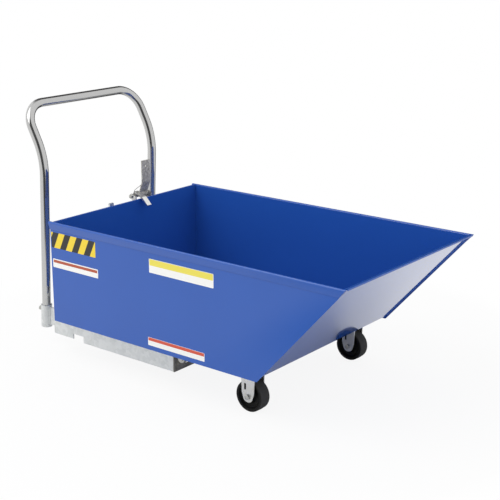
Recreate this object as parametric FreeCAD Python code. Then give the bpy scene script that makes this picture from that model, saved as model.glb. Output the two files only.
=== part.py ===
"""Tipping skip trolley: a low hopper that tips off a galvanised base frame.

The frame has +X towards the dump lip, +Y to the left, +Z up, and its origin on the floor
under the middle of the whole trolley. All sizes are in millimetres.
"""
import FreeCAD, Part
import math
import os

V = FreeCAD.Vector

# Shared allowances
overrun = 20.0
rest_gap = 0.3
run_gap = 0.05
slip_gap = 0.25
bolt_gap = 0.2

# Hopper sheet metal
sheet = 3.0
hopper_width = 892.0
hopper_height = 436.0
hopper_clearance = 173.0
top_length = 1453.0
bottom_length = 1065.0
panel_overhang = 20.0
front_overhang = 6.5
front_skirt = 6.0
panel_corner_radius = 8.0
rim_radius = 6.5
rim_fold = 35.0
fold_step = 2.0
hem_height = 25.0
lip_depth = 6.0
lip_round = 2.0

# Push handle
handle_tube = 38.1
handle_wall = 2.5
handle_inset = 114.0
handle_foot_reach = 202.0
handle_bend_reach = 165.0
handle_bar_reach = 279.0
handle_bend_drop = 211.0
handle_bar_height = 1049.0
handle_bend_radius = 280.0
handle_corner_radius = 102.0

# Handle sockets and their clamp bolts
socket_wall = 4.8
socket_base_height = 78.0
socket_length = 100.0
socket_floor = 4.0
socket_bolt_height = 75.0
clamp_bolt = 10.0
clamp_nut_flats = 19.0
clamp_nut_height = 10.0
clamp_head_height = 7.0
arm_thickness = 8.0
arm_bottom = 90.0
arm_top = 170.0

# Base frame
frame_inset = 53.0
frame_front = 605.0
frame_rear = 79.0
frame_bottom = 80.0
channel_wall = 4.0
channel_flange = 40.0
channel_bend = 5.0
end_plate = 5.0
notch_start = 34.0
notch_end = 95.0
notch_height = 30.0
heel_lift = 8.0
window_sill = 98.0
window_head = 182.0
window_inner = 121.0
window_inset = 29.0
guide_thickness = 5.0
guide_offset = 112.0

# Tipping hinge
hinge_reach = 634.0
hinge_height = 140.0
hinge_pin_diameter = 22.0
hinge_round = 20.0
hinge_inset = 37.0
lug_thickness = 10.0
lug_front = 70.0
ear_thickness = 8.0
ear_root = 38.0
side_gap = 0.5
collar_width = 10.0
collar_diameter = 36.0
shaft_end = 3.0

# Caster wheels
wheel_diameter = 127.0
wheel_width = 50.0
wheel_crown = 1.0
wheel_shoulder = 2.5
wheel_web = 30.0
wheel_hub = 44.0
wheel_rim = 13.0
wheel_blend = 6.0
wheel_hub_width = 55.0
bush_diameter = 19.0
axle_diameter = 12.5
fork_gap = 56.0
fork_sheet = 4.0
axle_hex = 19.0
axle_head_height = 7.5
axle_nut_height = 9.0
caster_height = 165.0

# Rigid front casters
front_axle_setback = 99.0
front_axle_inset = 105.0
front_plate_length = 114.0
front_plate_width = 102.0
leg_top_width = 72.0
leg_end_round = 22.0
leg_slot_width = 9.0
leg_slot_length = 27.0
leg_slot_shift = 13.0
leg_slot_height = 104.0
leg_half_share = 0.5
pad_length = 134.0
pad_width = 122.0
pad_wall = 5.0
bolt_pitch_length = 92.0
bolt_pitch_width = 76.0
plate_bolt = 9.5
plate_hex = 14.5
plate_head_height = 6.0
plate_nut_height = 8.0

# Rear swivel caster
swivel_reach = 60.0
swivel_trail = 38.0
trail_rear_share = 0.82
trail_front_share = 0.30
crown_height = 132.0
crown_thickness = 5.0
crown_round = 36.0
race_diameter = 64.0
race_ball = 11.0
race_seat_diameter = 78.0
kingpin = 13.0
kingpin_head = 24.0
kingpin_head_height = 4.0
caster_bed = 8.0
bed_length = 170.0

# Latch on the rear rim
latch_pivot_reach = 30.0
latch_pivot_lift = 10.0
latch_bolt = 10.0
latch_bolt_hex = 16.0
latch_bolt_head = 6.5
latch_nut_height = 8.0
latch_first_ear = 46.0
latch_ear = 6.0
latch_ear_round = 12.0
latch_barrel = 20.0
latch_barrel_start = 66.0
latch_barrel_end = 146.0
strap_thickness = 6.0
strap_bend = 36.0
strap_start = 94.0
strap_end = 144.0
strap_knee_height = 56.0
strap_knee_shift = 22.0
strap_top_height = 156.0
strap_hole = 9.0
strap_hole_drop = 27.0
tab_thickness = 8.0
tab_width = 26.0
tab_bend = 14.0
tab_over = 40.0
tab_over_drop = 14.5
tab_reach = 32.0
tab_drop = 33.0
tab_tail = 8.0
tab_bite = 1.5
hook_width = 30.0
hook_bar = 9.0
hook_bend = 12.0
hook_drop = 115.0
hook_clear = 3.0
spring_wire = 2.6
spring_turns = 3
spring_lead = 3.3
spring_gap = 0.6
spring_leg = 28.0
spring_leg_rise = 22.0
spring_leg_end = 104.0
spring_leg_bend = 9.0
spring_tail_drop = 42.0
spring_touch = 0.15

# Keeper on the base frame
post_thickness = 10.0
post_width = 25.0
post_near = -23.0
post_far = 84.0
post_drop = 17.0
post_foot = 100.0
keeper_diameter = 16.0
keeper_drop = 85.0
keeper_end = 152.0

# Levels and places that follow from the sizes above
overall_length = handle_bar_reach + handle_tube / 2 + top_length
rear_x = handle_bar_reach + handle_tube / 2 - overall_length / 2
rim_z = hopper_clearance + hopper_height
floor_z = hopper_clearance + panel_overhang
frame_top = floor_z - rest_gap
panel_outer = hopper_width / 2
panel_inner = panel_outer - sheet
frame_width = hopper_width - 2 * frame_inset
frame_half = frame_width / 2
window_outer = frame_half - channel_flange - window_inset
hinge_offset = frame_half - hinge_inset
front_axle_offset = panel_outer - front_axle_inset
handle_spread = hopper_width - 2 * handle_inset
handle_bend_height = handle_bar_height - handle_bend_drop
slope_run = top_length - bottom_length
slope_slant = math.hypot(slope_run, hopper_height)
axle_z = wheel_diameter / 2
hinge_x = rear_x + hinge_reach
front_axle_x = rear_x + bottom_length - front_axle_setback
swivel_x = rear_x + swivel_reach
pivot_x = rear_x - latch_pivot_reach
pivot_z = rim_z + latch_pivot_lift
frame_front_x = rear_x + frame_front
frame_rear_x = rear_x - frame_rear


def box(x0, x1, y0, y1, z0, z1):
    """Block between two corners."""
    return Part.makeBox(x1 - x0, y1 - y0, z1 - z0, V(x0, y0, z0))


def along_y(edges, y0, y1):
    """Closed outline drawn in the XZ plane at y = 0, extruded from y0 to y1."""
    face = Part.Face(Part.Wire(edges))
    face.translate(V(0, y0, 0))
    return face.extrude(V(0, y1 - y0, 0))


def polygon_y(points, y0, y1):
    """Straight-sided outline of (x, z) points, extruded from y0 to y1."""
    corners = [V(x, 0, z) for x, z in points]
    return along_y(Part.makePolygon(corners + corners[:1]).Edges, y0, y1)


def rod_x(x0, x1, y, z, diameter):
    """Round bar along X."""
    return Part.makeCylinder(diameter / 2, x1 - x0, V(x0, y, z), V(1, 0, 0))


def rod_y(x, y0, y1, z, diameter):
    """Round bar along Y."""
    return Part.makeCylinder(diameter / 2, y1 - y0, V(x, y0, z), V(0, 1, 0))


def rod_z(x, y, z0, z1, diameter):
    """Round bar along Z."""
    return Part.makeCylinder(diameter / 2, z1 - z0, V(x, y, z0))


def hexagon(centre, axis, flats, height):
    """Hexagonal head or nut blank whose base is at centre."""
    radius = flats / math.sqrt(3)
    turns = [math.radians(60 * corner) for corner in range(6)]
    corners = [V(radius * math.cos(a), radius * math.sin(a), 0) for a in turns]
    blank = Part.Face(Part.makePolygon(corners + corners[:1])).extrude(V(0, 0, height))
    blank.Placement = FreeCAD.Placement(centre, FreeCAD.Rotation(V(0, 0, 1), axis))
    return blank


def mirrored(shape):
    """The same piece on the other side of the trolley."""
    return shape.mirror(V(0, 0, 0), V(0, 1, 0))


def pair(shape):
    """A piece and its mirror twin, as two separate solids."""
    return Part.makeCompound([shape, mirrored(shape)])


def tangent_leg(x_top_rear, x_top_front, z_top, x_end, z_end, radius):
    """Edges of a plate that narrows from a straight top to a round end.

    Each side runs from a top corner along the tangent of the end circle.
    """
    def touch(x, side):
        away = math.atan2(z_top - z_end, x - x_end)
        turn = math.acos(radius / math.hypot(x - x_end, z_top - z_end))
        angle = away + side * turn
        return V(x_end + radius * math.cos(angle), 0, z_end + radius * math.sin(angle))

    rear, front = V(x_top_rear, 0, z_top), V(x_top_front, 0, z_top)
    rear_touch, front_touch = touch(x_top_rear, 1), touch(x_top_front, -1)
    low = V(x_end, 0, z_end - radius)
    return [
        Part.makeLine(front, rear),
        Part.makeLine(rear, rear_touch),
        Part.Arc(rear_touch, low, front_touch).toShape(),
        Part.makeLine(front_touch, front),
    ]


def slope_x(z, offset):
    """X on the sloped front, set in by offset from the side panels' front edge."""
    rise = (z - hopper_clearance) / hopper_height
    return rear_x + bottom_length + rise * slope_run - offset * slope_slant / hopper_height


def side_panel():
    """Left side panel: sheet with its top edge rolled outwards and folded back on to its face."""
    centre_y, centre_z = panel_inner + rim_radius, rim_z - rim_radius
    foot_z = rim_z - rim_fold
    foot_y = panel_outer + fold_step
    reach_y, reach_z = foot_y - centre_y, foot_z - centre_z
    tail = math.atan2(reach_z, reach_y) + math.acos(rim_radius / math.hypot(reach_y, reach_z))
    inner_radius = rim_radius - sheet

    def on_roll(radius, angle):
        return V(0, centre_y + radius * math.cos(angle), centre_z + radius * math.sin(angle))

    low_in = V(0, panel_inner, hopper_clearance)
    low_out = V(0, panel_outer, hopper_clearance)
    foot = V(0, foot_y, foot_z)
    heel = V(0, panel_outer, foot_z)
    outer = Part.Wire([
        Part.makeLine(low_in, on_roll(rim_radius, math.pi)),
        Part.Arc(on_roll(rim_radius, math.pi), on_roll(rim_radius, math.pi / 2),
                 on_roll(rim_radius, tail)).toShape(),
        Part.makeLine(on_roll(rim_radius, tail), foot),
        Part.makeLine(foot, heel),
        Part.makeLine(heel, low_out),
        Part.makeLine(low_out, low_in),
    ])
    rise = (sheet - fold_step * math.cos(tail)) / abs(math.sin(tail))
    inner_foot = V(0, panel_outer, foot_z + rise)
    inner = Part.Wire([
        Part.Arc(on_roll(inner_radius, math.pi), on_roll(inner_radius, math.pi / 2),
                 on_roll(inner_radius, tail)).toShape(),
        Part.makeLine(on_roll(inner_radius, tail), inner_foot),
        Part.makeLine(inner_foot, on_roll(inner_radius, math.pi)),
    ])
    section = Part.Face(outer).cut(Part.Face(inner))
    start = rear_x - panel_overhang
    section.translate(V(start, 0, 0))
    panel = section.extrude(V(top_length + panel_overhang + overrun, 0, 0))
    low_z, high_z = hopper_clearance - overrun, rim_z + overrun
    far_x = rear_x + top_length + slope_run
    front_waste = polygon_y(
        [(slope_x(low_z, 0), low_z), (slope_x(high_z, 0), high_z), (far_x, high_z), (far_x, low_z)],
        panel_inner - overrun, panel_outer + rim_radius + overrun)
    panel = panel.cut(front_waste)
    nose = V(slope_x(hopper_clearance, 0), (panel_inner + panel_outer) / 2, hopper_clearance)
    nose_edges = [e for e in panel.Edges if e.CenterOfMass.distanceToPoint(nose) < run_gap]
    return panel.makeFillet(panel_corner_radius, nose_edges)


def rear_wall():
    """Upright rear sheet with its top edge folded flat to the outside."""
    inner_x, outer_x, hem_x = rear_x + sheet, rear_x, rear_x - sheet
    round_z, fold_z, low_z = rim_z - sheet, rim_z - hem_height, floor_z + sheet
    points = [V(hem_x, 0, round_z), V(hem_x, 0, fold_z), V(outer_x, 0, fold_z), V(outer_x, 0, low_z),
              V(inner_x, 0, low_z), V(inner_x, 0, round_z)]
    edges = Part.makePolygon(points).Edges
    edges.append(Part.Arc(points[-1], V(outer_x, 0, rim_z), points[0]).toShape())
    return along_y(edges, -panel_inner, panel_inner)


def floor_sheet():
    """Flat bottom of the hopper, butted against the inside of the sloped front."""
    top_z = floor_z + sheet
    inner = front_overhang + sheet
    return polygon_y([(rear_x, floor_z), (slope_x(floor_z, inner), floor_z),
                      (slope_x(top_z, inner), top_z), (rear_x, top_z)],
                     -panel_inner, panel_inner)


def front_sheet():
    """Sloped front with a lip turned outwards and down along its top edge, and a skirt below the floor."""
    lip_x = rear_x + top_length
    inner = front_overhang + sheet
    under_z, low_z = rim_z - sheet, floor_z - front_skirt
    points = [
        (slope_x(low_z, front_overhang), low_z), (slope_x(under_z, front_overhang), under_z),
        (lip_x - sheet, under_z), (lip_x - sheet, rim_z - lip_depth),
        (lip_x, rim_z - lip_depth), (lip_x, rim_z),
        (slope_x(rim_z, inner), rim_z), (slope_x(low_z, inner), low_z)]
    solid = polygon_y(points, -panel_inner, panel_inner)
    edge = V(lip_x, 0, rim_z)
    lip_edges = [e for e in solid.Edges if e.CenterOfMass.distanceToPoint(edge) < run_gap]
    return solid.makeFillet(lip_round, lip_edges)


def hinge_lug():
    """Left lug under the hopper floor, with its bore for the hinge pin."""
    half = lug_thickness / 2
    edges = tangent_leg(hinge_x - hinge_round, hinge_x + lug_front, floor_z,
                        hinge_x, hinge_height, hinge_round)
    lug = along_y(edges, hinge_offset - half, hinge_offset + half)
    bore = rod_y(hinge_x, 0, hopper_width, hinge_height, hinge_pin_diameter + 2 * run_gap)
    return lug.cut(bore)


def hinge_ears():
    """Four ears on the front plate that carry the hinge pins, two beside each lug."""
    root_x = frame_front_x + end_plate
    reach = lug_thickness / 2 + side_gap
    edges = [
        Part.makeLine(V(root_x, 0, hinge_height - ear_root), V(root_x, 0, hinge_height + ear_root)),
        Part.makeLine(V(root_x, 0, hinge_height + ear_root), V(hinge_x, 0, hinge_height + hinge_round)),
        Part.Arc(V(hinge_x, 0, hinge_height + hinge_round), V(hinge_x + hinge_round, 0, hinge_height),
                 V(hinge_x, 0, hinge_height - hinge_round)).toShape(),
        Part.makeLine(V(hinge_x, 0, hinge_height - hinge_round), V(root_x, 0, hinge_height - ear_root)),
    ]
    bore = rod_y(hinge_x, 0, hopper_width, hinge_height, hinge_pin_diameter)
    inner = along_y(edges, hinge_offset - reach - ear_thickness, hinge_offset - reach).cut(bore)
    outer = along_y(edges, hinge_offset + reach, hinge_offset + reach + ear_thickness).cut(bore)
    return Part.makeCompound([inner, outer, mirrored(inner), mirrored(outer)])


ear_span = lug_thickness / 2 + side_gap + ear_thickness
pin_span = ear_span + collar_width + shaft_end


def hinge_pin():
    """Left hinge pin through two ears and the lug between them."""
    return rod_y(hinge_x, hinge_offset - pin_span, hinge_offset + pin_span, hinge_height, hinge_pin_diameter)


def pin_collars():
    """Stop collars on both ends of each hinge pin."""
    rings = []
    for start in (hinge_offset - ear_span - collar_width, hinge_offset + ear_span):
        ring = rod_y(hinge_x, start, start + collar_width, hinge_height, collar_diameter)
        ring = ring.cut(rod_y(hinge_x, 0, hopper_width, hinge_height, hinge_pin_diameter))
        rings += [ring, mirrored(ring)]
    return Part.makeCompound(rings)


def wheel(x, y):
    """Solid caster wheel: crowned tread, dished sides and a hub that runs on the bush."""
    half, hub_half = wheel_width / 2, wheel_hub_width / 2
    outer, bore = wheel_diameter / 2, bush_diameter / 2 + run_gap
    dish, hub, rim = wheel_web / 2, wheel_hub / 2, wheel_diameter / 2 - wheel_rim

    def at(radius, side):
        return V(radius, side, 0)

    shoulder = outer - wheel_crown
    points = [at(bore, -hub_half), at(bore, hub_half), at(hub, hub_half), at(hub + wheel_blend, dish),
              at(rim - wheel_blend, dish), at(rim, half),
              at(shoulder - wheel_shoulder, half), at(shoulder, half - wheel_shoulder)]
    mirror = [at(p.x, -p.y) for p in reversed(points[2:])]
    edges = Part.makePolygon(points).Edges
    edges.append(Part.Arc(points[-1], at(outer, 0), mirror[0]).toShape())
    edges += Part.makePolygon(mirror + points[:1]).Edges
    solid = Part.Face(Part.Wire(edges)).revolve(V(0, 0, 0), V(0, 1, 0), 360)
    solid.translate(V(x, y, axle_z))
    return solid


def bush(x, y):
    """Sleeve clamped between the fork legs, on which the wheel turns."""
    sleeve = rod_y(x, y - fork_gap / 2, y + fork_gap / 2, axle_z, bush_diameter)
    return sleeve.cut(rod_y(x, y - fork_gap, y + fork_gap, axle_z, axle_diameter + bolt_gap))


fork_half = fork_gap / 2 + fork_sheet


def axle_bolt(x, y):
    """Axle with its hexagon head on the right-hand leg."""
    end = y + fork_half + axle_nut_height + shaft_end
    shank = rod_y(x, y - fork_half, end, axle_z, axle_diameter)
    head = hexagon(V(x, y - fork_half, axle_z), V(0, -1, 0), axle_hex, axle_head_height)
    return shank.fuse(head).removeSplitter()


def axle_nut(x, y):
    """Lock nut on the left-hand leg."""
    nut = hexagon(V(x, y + fork_half, axle_z), V(0, 1, 0), axle_hex, axle_nut_height)
    return nut.cut(rod_y(x, y, y + fork_gap, axle_z, axle_diameter))


def bolt_places(x, y):
    """Centres of the four fixing bolts of a caster top plate."""
    steps = [(-1, -1), (-1, 1), (1, -1), (1, 1)]
    return [(x + sx * bolt_pitch_length / 2, y + sy * bolt_pitch_width / 2) for sx, sy in steps]


def with_bolt_holes(plate, x, y):
    """Plate with its four fixing holes."""
    for hole_x, hole_y in bolt_places(x, y):
        plate = plate.cut(rod_z(hole_x, hole_y, 0, rim_z, plate_bolt + bolt_gap))
    return plate


def caster_plate(x, y):
    """Top plate of a caster, before its holes."""
    half_x, half_y = front_plate_length / 2, front_plate_width / 2
    return box(x - half_x, x + half_x, y - half_y, y + half_y, caster_height - fork_sheet, caster_height)


def plate_bolts(x, y, grip_top):
    """Four fixing bolts with heads under the top plate and nuts above the piece it is fixed to."""
    pieces = []
    for bolt_x, bolt_y in bolt_places(x, y):
        low = caster_height - fork_sheet
        shank = rod_z(bolt_x, bolt_y, low, grip_top + plate_nut_height, plate_bolt)
        head = hexagon(V(bolt_x, bolt_y, low), V(0, 0, -1), plate_hex, plate_head_height)
        nut = hexagon(V(bolt_x, bolt_y, grip_top), V(0, 0, 1), plate_hex, plate_nut_height)
        pieces.append(shank.fuse(head).removeSplitter())
        pieces.append(nut.cut(rod_z(bolt_x, bolt_y, 0, rim_z, plate_bolt)))
    return Part.makeCompound(pieces)


def fork_legs(x, y, top_z, rear_share, front_share, axle_x):
    """Both legs of a caster fork, bored for the axle and slotted."""
    edges = tangent_leg(x - rear_share * leg_top_width, x + front_share * leg_top_width, top_z,
                        axle_x, axle_z, leg_end_round)
    inner = fork_gap / 2
    leg = along_y(edges, y + inner, y + fork_half)
    return leg.fuse(along_y(edges, y - fork_half, y - inner)).cut(
        rod_y(axle_x, y - fork_gap, y + fork_gap, axle_z, axle_diameter + bolt_gap))


def leg_slots(x, y):
    """Cutters for the upright slot in each leg of a rigid fork."""
    slot_x, r = x - leg_slot_shift, leg_slot_width / 2
    half = leg_slot_length / 2 - r
    low, high = leg_slot_height - half, leg_slot_height + half
    body = box(slot_x - r, slot_x + r, y - fork_gap, y + fork_gap, low, high)
    for z in (low, high):
        body = body.fuse(rod_y(slot_x, y - fork_gap, y + fork_gap, z, leg_slot_width))
    return body


def rigid_fork(x, y):
    """Pressed bracket of a front caster: top plate and two slotted legs in one piece."""
    legs = fork_legs(x, y, caster_height, leg_half_share, leg_half_share, x).cut(leg_slots(x, y))
    return with_bolt_holes(caster_plate(x, y).fuse(legs).removeSplitter(), x, y)


def caster_pad(x, y):
    """Open channel between the hopper floor and a front caster."""
    x0, x1 = x - pad_length / 2, x + pad_length / 2
    y0, y1 = y - pad_width / 2, y + pad_width / 2
    block = box(x0, x1, y0, y1, caster_height, floor_z)
    hollow = box(x0 + pad_wall, x1 - pad_wall, y0 - overrun, y1 + overrun,
                 caster_height + pad_wall, floor_z + overrun)
    return with_bolt_holes(block.cut(hollow), x, y)


def swivel_plate():
    """Fixed top plate of the rear caster with the seat ring of its bearing."""
    seat_z = crown_height + crown_thickness + rest_gap + race_ball
    plate = caster_plate(swivel_x, 0).fuse(rod_z(swivel_x, 0, seat_z, caster_height, race_seat_diameter))
    return with_bolt_holes(plate.removeSplitter(), swivel_x, 0).cut(rod_z(swivel_x, 0, 0, rim_z, kingpin))


def swivel_race():
    """Bearing ring between the top plate and the swivel fork."""
    ring = Part.makeTorus(race_diameter / 2, race_ball / 2)
    ring.translate(V(swivel_x, 0, crown_height + crown_thickness + rest_gap + race_ball / 2))
    return ring


def swivel_kingpin():
    """Kingpin fixed in the top plate, with its head under the fork's crown."""
    low = crown_height - rest_gap
    pin = rod_z(swivel_x, 0, low, caster_height, kingpin)
    return pin.fuse(rod_z(swivel_x, 0, low - kingpin_head_height, low, kingpin_head)).removeSplitter()


def swivel_fork():
    """Trailing fork of the rear caster: round crown and two legs that lean back to the axle."""
    top_z = crown_height + crown_thickness
    axle_x = swivel_x - swivel_trail
    legs = fork_legs(swivel_x, 0, top_z, trail_rear_share, trail_front_share, axle_x)
    crown = rod_z(swivel_x, 0, crown_height, top_z, 2 * crown_round)
    rear = swivel_x - trail_rear_share * leg_top_width
    front = swivel_x + trail_front_share * leg_top_width
    shoulder = box(rear, front, -fork_half, fork_half, crown_height, top_z)
    fork = legs.fuse([crown, shoulder]).removeSplitter()
    return fork.cut(rod_z(swivel_x, 0, 0, rim_z, kingpin + 2 * run_gap))


def side_channel():
    """Left side of the base frame: inward channel with a raised heel and a notch behind it."""
    web_out, web_in, lip = frame_half, frame_half - channel_wall, frame_half - channel_flange
    solid = box(frame_rear_x, frame_front_x, lip, web_out, frame_bottom, frame_top)
    long_edges = [e for e in solid.Edges if abs(e.CenterOfMass.y - web_out) < run_gap
                  and abs(e.CenterOfMass.x - (frame_rear_x + frame_front_x) / 2) < run_gap]
    solid = solid.makeFillet(channel_bend, long_edges)
    solid = solid.cut(box(frame_rear_x - overrun, frame_front_x + overrun, lip - overrun, web_in,
                          frame_bottom + channel_wall, frame_top - channel_wall))
    solid = solid.cut(box(frame_rear_x - overrun, rear_x + notch_start, lip - overrun, web_out + overrun,
                          frame_bottom - overrun, frame_bottom + heel_lift))
    return solid.cut(box(rear_x + notch_start, rear_x + notch_end, lip - overrun, web_out + overrun,
                         frame_bottom - overrun, frame_bottom + notch_height))


def end_plate_with_windows(x0, low_z):
    """Plate across one end of the base frame, with a window for each fork arm."""
    plate = box(x0, x0 + end_plate, -frame_half, frame_half, low_z, frame_top)
    window = box(x0 - overrun, x0 + overrun, window_inner, window_outer, window_sill, window_head)
    return plate.cut(window).cut(mirrored(window))


def fork_guide():
    """Left inner wall of the fork channel, from end plate to end plate."""
    return box(frame_rear_x, frame_front_x, guide_offset, guide_offset + guide_thickness,
               frame_bottom + channel_wall, frame_top)


def caster_bed_plate():
    """Plate between the fork guides that the rear caster is bolted to."""
    start = swivel_x - bed_length / 2
    bed = box(start, start + bed_length, -guide_offset, guide_offset,
              caster_height, caster_height + caster_bed)
    return with_bolt_holes(bed, swivel_x, 0)


# The handle's legs lean forwards a little, and the sockets lean with them
lean_height = handle_bend_height - socket_base_height
lean = math.degrees(math.atan2(handle_foot_reach - handle_bend_reach, lean_height))
foot = V(rear_x - handle_foot_reach, handle_spread / 2, socket_base_height)


def leaned(shape):
    """Piece built upright on the foot of the left leg, turned to the lean of the leg."""
    shape.rotate(foot, V(0, 1, 0), lean)
    return shape


def rounded_path(points, radii):
    """Straight runs through the points, with an arc of the given radius at each inner point."""
    edges, start = [], points[0]
    for before, corner, after, radius in zip(points, points[1:], points[2:], radii):
        back, onward = (before - corner).normalize(), (after - corner).normalize()
        half_turn = back.getAngle(onward) / 2
        cut_back = radius / math.tan(half_turn)
        first, last = corner + back * cut_back, corner + onward * cut_back
        middle_way = (back + onward).normalize()
        middle = corner + middle_way * (radius / math.sin(half_turn) - radius)
        edges += [Part.makeLine(start, first), Part.Arc(first, middle, last).toShape()]
        start = last
    edges.append(Part.makeLine(start, points[-1]))
    return Part.Wire(edges)


def swept(path, diameter):
    """Round bar along a path of runs and tangent arcs."""
    start = path.OrderedVertexes[0].Point
    first = path.OrderedEdges[0]
    tangent = first.tangentAt(first.FirstParameter)
    ring = Part.Wire(Part.makeCircle(diameter / 2, start, tangent))
    return path.makePipeShell([ring], True, False)


def handle():
    """Push handle bent from one tube: two leaning legs swept back to a crossbar."""
    rise = V(math.sin(math.radians(lean)), 0, math.cos(math.radians(lean)))
    seat = foot + rise * socket_floor
    bend = V(rear_x - handle_bend_reach, foot.y, handle_bend_height)
    corner = V(rear_x - handle_bar_reach, foot.y, handle_bar_height)
    left = [seat, bend, corner]
    right = [V(p.x, -p.y, p.z) for p in reversed(left)]
    radii = [handle_bend_radius, handle_corner_radius, handle_corner_radius, handle_bend_radius]
    path = rounded_path(left + right, radii)
    return swept(path, handle_tube).cut(swept(path, handle_tube - 2 * handle_wall))


socket_bore = handle_tube + 2 * slip_gap
socket_outer = socket_bore + 2 * socket_wall


def socket():
    """Left handle socket: sleeve with a floor and a hole for its clamp bolt."""
    sleeve = rod_z(foot.x, foot.y, foot.z, foot.z + socket_length, socket_outer)
    sleeve = sleeve.cut(rod_z(foot.x, foot.y, foot.z + socket_floor,
                              foot.z + socket_length + overrun, socket_bore))
    bolt_z = foot.z + socket_bolt_height
    return leaned(sleeve.cut(rod_x(foot.x - socket_outer, foot.x, foot.y, bolt_z, clamp_bolt + bolt_gap)))


def clamp_bolt_left():
    """Clamp bolt whose tip bears on the handle tube."""
    bolt_z = foot.z + socket_bolt_height
    head_x = foot.x - socket_outer / 2 - clamp_nut_height
    shank = rod_x(head_x, foot.x - handle_tube / 2 - run_gap, foot.y, bolt_z, clamp_bolt)
    head = hexagon(V(head_x, foot.y, bolt_z), V(-1, 0, 0), clamp_nut_flats, clamp_head_height)
    return leaned(shank.fuse(head).removeSplitter())


def clamp_nut_left():
    """Nut welded to the socket for the clamp bolt, saddled to the sleeve."""
    bolt_z = foot.z + socket_bolt_height
    start = V(foot.x - socket_outer / 2 - clamp_nut_height, foot.y, bolt_z)
    nut = hexagon(start, V(1, 0, 0), clamp_nut_flats, clamp_nut_height + socket_wall)
    nut = nut.cut(rod_z(foot.x, foot.y, foot.z, foot.z + socket_length, socket_outer))
    return leaned(nut.cut(rod_x(foot.x - socket_length, foot.x, foot.y, bolt_z, clamp_bolt)))


def socket_arm():
    """Flat arm from the rear plate back to the left handle socket."""
    half = arm_thickness / 2
    arm = box(foot.x, frame_rear_x - end_plate, foot.y - half, foot.y + half, arm_bottom, arm_top)
    core = leaned(rod_z(foot.x, foot.y, foot.z - overrun, foot.z + socket_length + overrun, socket_outer))
    back_waste = box(foot.x - overrun, foot.x + socket_wall, foot.y - arm_thickness, foot.y + arm_thickness,
                     arm_bottom - overrun, arm_top + overrun)
    return arm.cut(core).cut(back_waste)


keeper_x = frame_rear_x - end_plate + keeper_diameter / 2
keeper_z = rim_z - keeper_drop


def latch_posts():
    """Two flat uprights on the rear plate that hold the keeper bar behind the hopper."""
    x1 = frame_rear_x - end_plate
    tops = ((post_near, rim_z - post_drop), (post_far, keeper_z + keeper_diameter))
    x0, half = x1 - post_thickness, post_width / 2
    return Part.makeCompound([box(x0, x1, y - half, y + half, post_foot, top) for y, top in tops])


def keeper_bar():
    """Round bar in front of the posts that the latch hook catches."""
    return rod_y(keeper_x, post_near - post_width / 2, keeper_end, keeper_z, keeper_diameter)


ear_starts = (latch_first_ear, latch_barrel_end + side_gap)


def latch_ears():
    """Two ears welded to the rear wall that stand above its rim and hold the pivot bolt."""
    wall_x = rear_x - sheet
    low_z = rim_z - hem_height
    ears = []
    for y in ear_starts:
        edges = [
            Part.makeLine(V(wall_x, 0, low_z), V(wall_x, 0, pivot_z)),
            Part.makeLine(V(wall_x, 0, pivot_z), V(pivot_x, 0, pivot_z + latch_ear_round)),
            Part.Arc(V(pivot_x, 0, pivot_z + latch_ear_round), V(pivot_x - latch_ear_round, 0, pivot_z),
                     V(pivot_x, 0, pivot_z - latch_ear_round)).toShape(),
            Part.makeLine(V(pivot_x, 0, pivot_z - latch_ear_round), V(wall_x, 0, low_z)),
        ]
        ear = along_y(edges, y, y + latch_ear)
        ears.append(ear.cut(rod_y(pivot_x, 0, hopper_width, pivot_z, latch_bolt)))
    return Part.makeCompound(ears)


def bent_bar(points, bend, thickness, y0, y1):
    """Flat bar whose middle follows (x, z) points, with one bend radius at each inner point."""
    line = [V(x, y0, z) for x, z in points]
    path = rounded_path(line, [bend] * (len(line) - 2))
    run = (line[1] - line[0]).normalize()
    half = V(run.z, 0, -run.x) * (thickness / 2)
    width = V(0, y1 - y0, 0)
    corners = [line[0] + half, line[0] - half, line[0] - half + width, line[0] + half + width]
    section = Part.makePolygon(corners + corners[:1])
    return path.makePipeShell([section], True, False)


def off_barrel(bar):
    """Bar of the latch, cut back to the outside of the barrel that it is welded to."""
    return bar.cut(rod_y(pivot_x, 0, hopper_width, pivot_z, latch_barrel))


def latch_barrel_tube():
    """Barrel of the latch, bored to turn on the pivot bolt."""
    barrel = rod_y(pivot_x, latch_barrel_start, latch_barrel_end, pivot_z, latch_barrel)
    return barrel.cut(rod_y(pivot_x, 0, hopper_width, pivot_z, latch_bolt + 2 * run_gap))


def latch_lever():
    """Cranked hand strap of the latch, with a hole for a pull cord near its top."""
    knee = (pivot_x + strap_knee_shift, pivot_z + strap_knee_height)
    strap = bent_bar([(pivot_x, pivot_z), knee, (knee[0], pivot_z + strap_top_height)],
                     strap_bend, strap_thickness, strap_start, strap_end)
    hole_z = pivot_z + strap_top_height - strap_hole_drop
    hole = rod_x(knee[0] - overrun, knee[0] + overrun, (strap_start + strap_end) / 2, hole_z, strap_hole)
    return off_barrel(strap.cut(hole))


def latch_tab():
    """Tab of the latch, laid on the barrel and bent down over the hopper's rear rim."""
    length = math.hypot(tab_over, tab_over_drop)
    run_x, run_z = tab_over / length, -tab_over_drop / length
    lift = latch_barrel / 2 - tab_bite + tab_thickness / 2
    foot_x, foot_z = pivot_x - lift * run_z, pivot_z + lift * run_x
    tail = (foot_x - tab_tail * run_x, foot_z - tab_tail * run_z)
    over = (foot_x + tab_over, foot_z - tab_over_drop)
    tip = (over[0] + tab_reach, over[1] - tab_drop)
    tab = bent_bar([tail, over, tip], tab_bend, tab_thickness,
                   latch_barrel_start, latch_barrel_start + tab_width)
    return off_barrel(tab)


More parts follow.
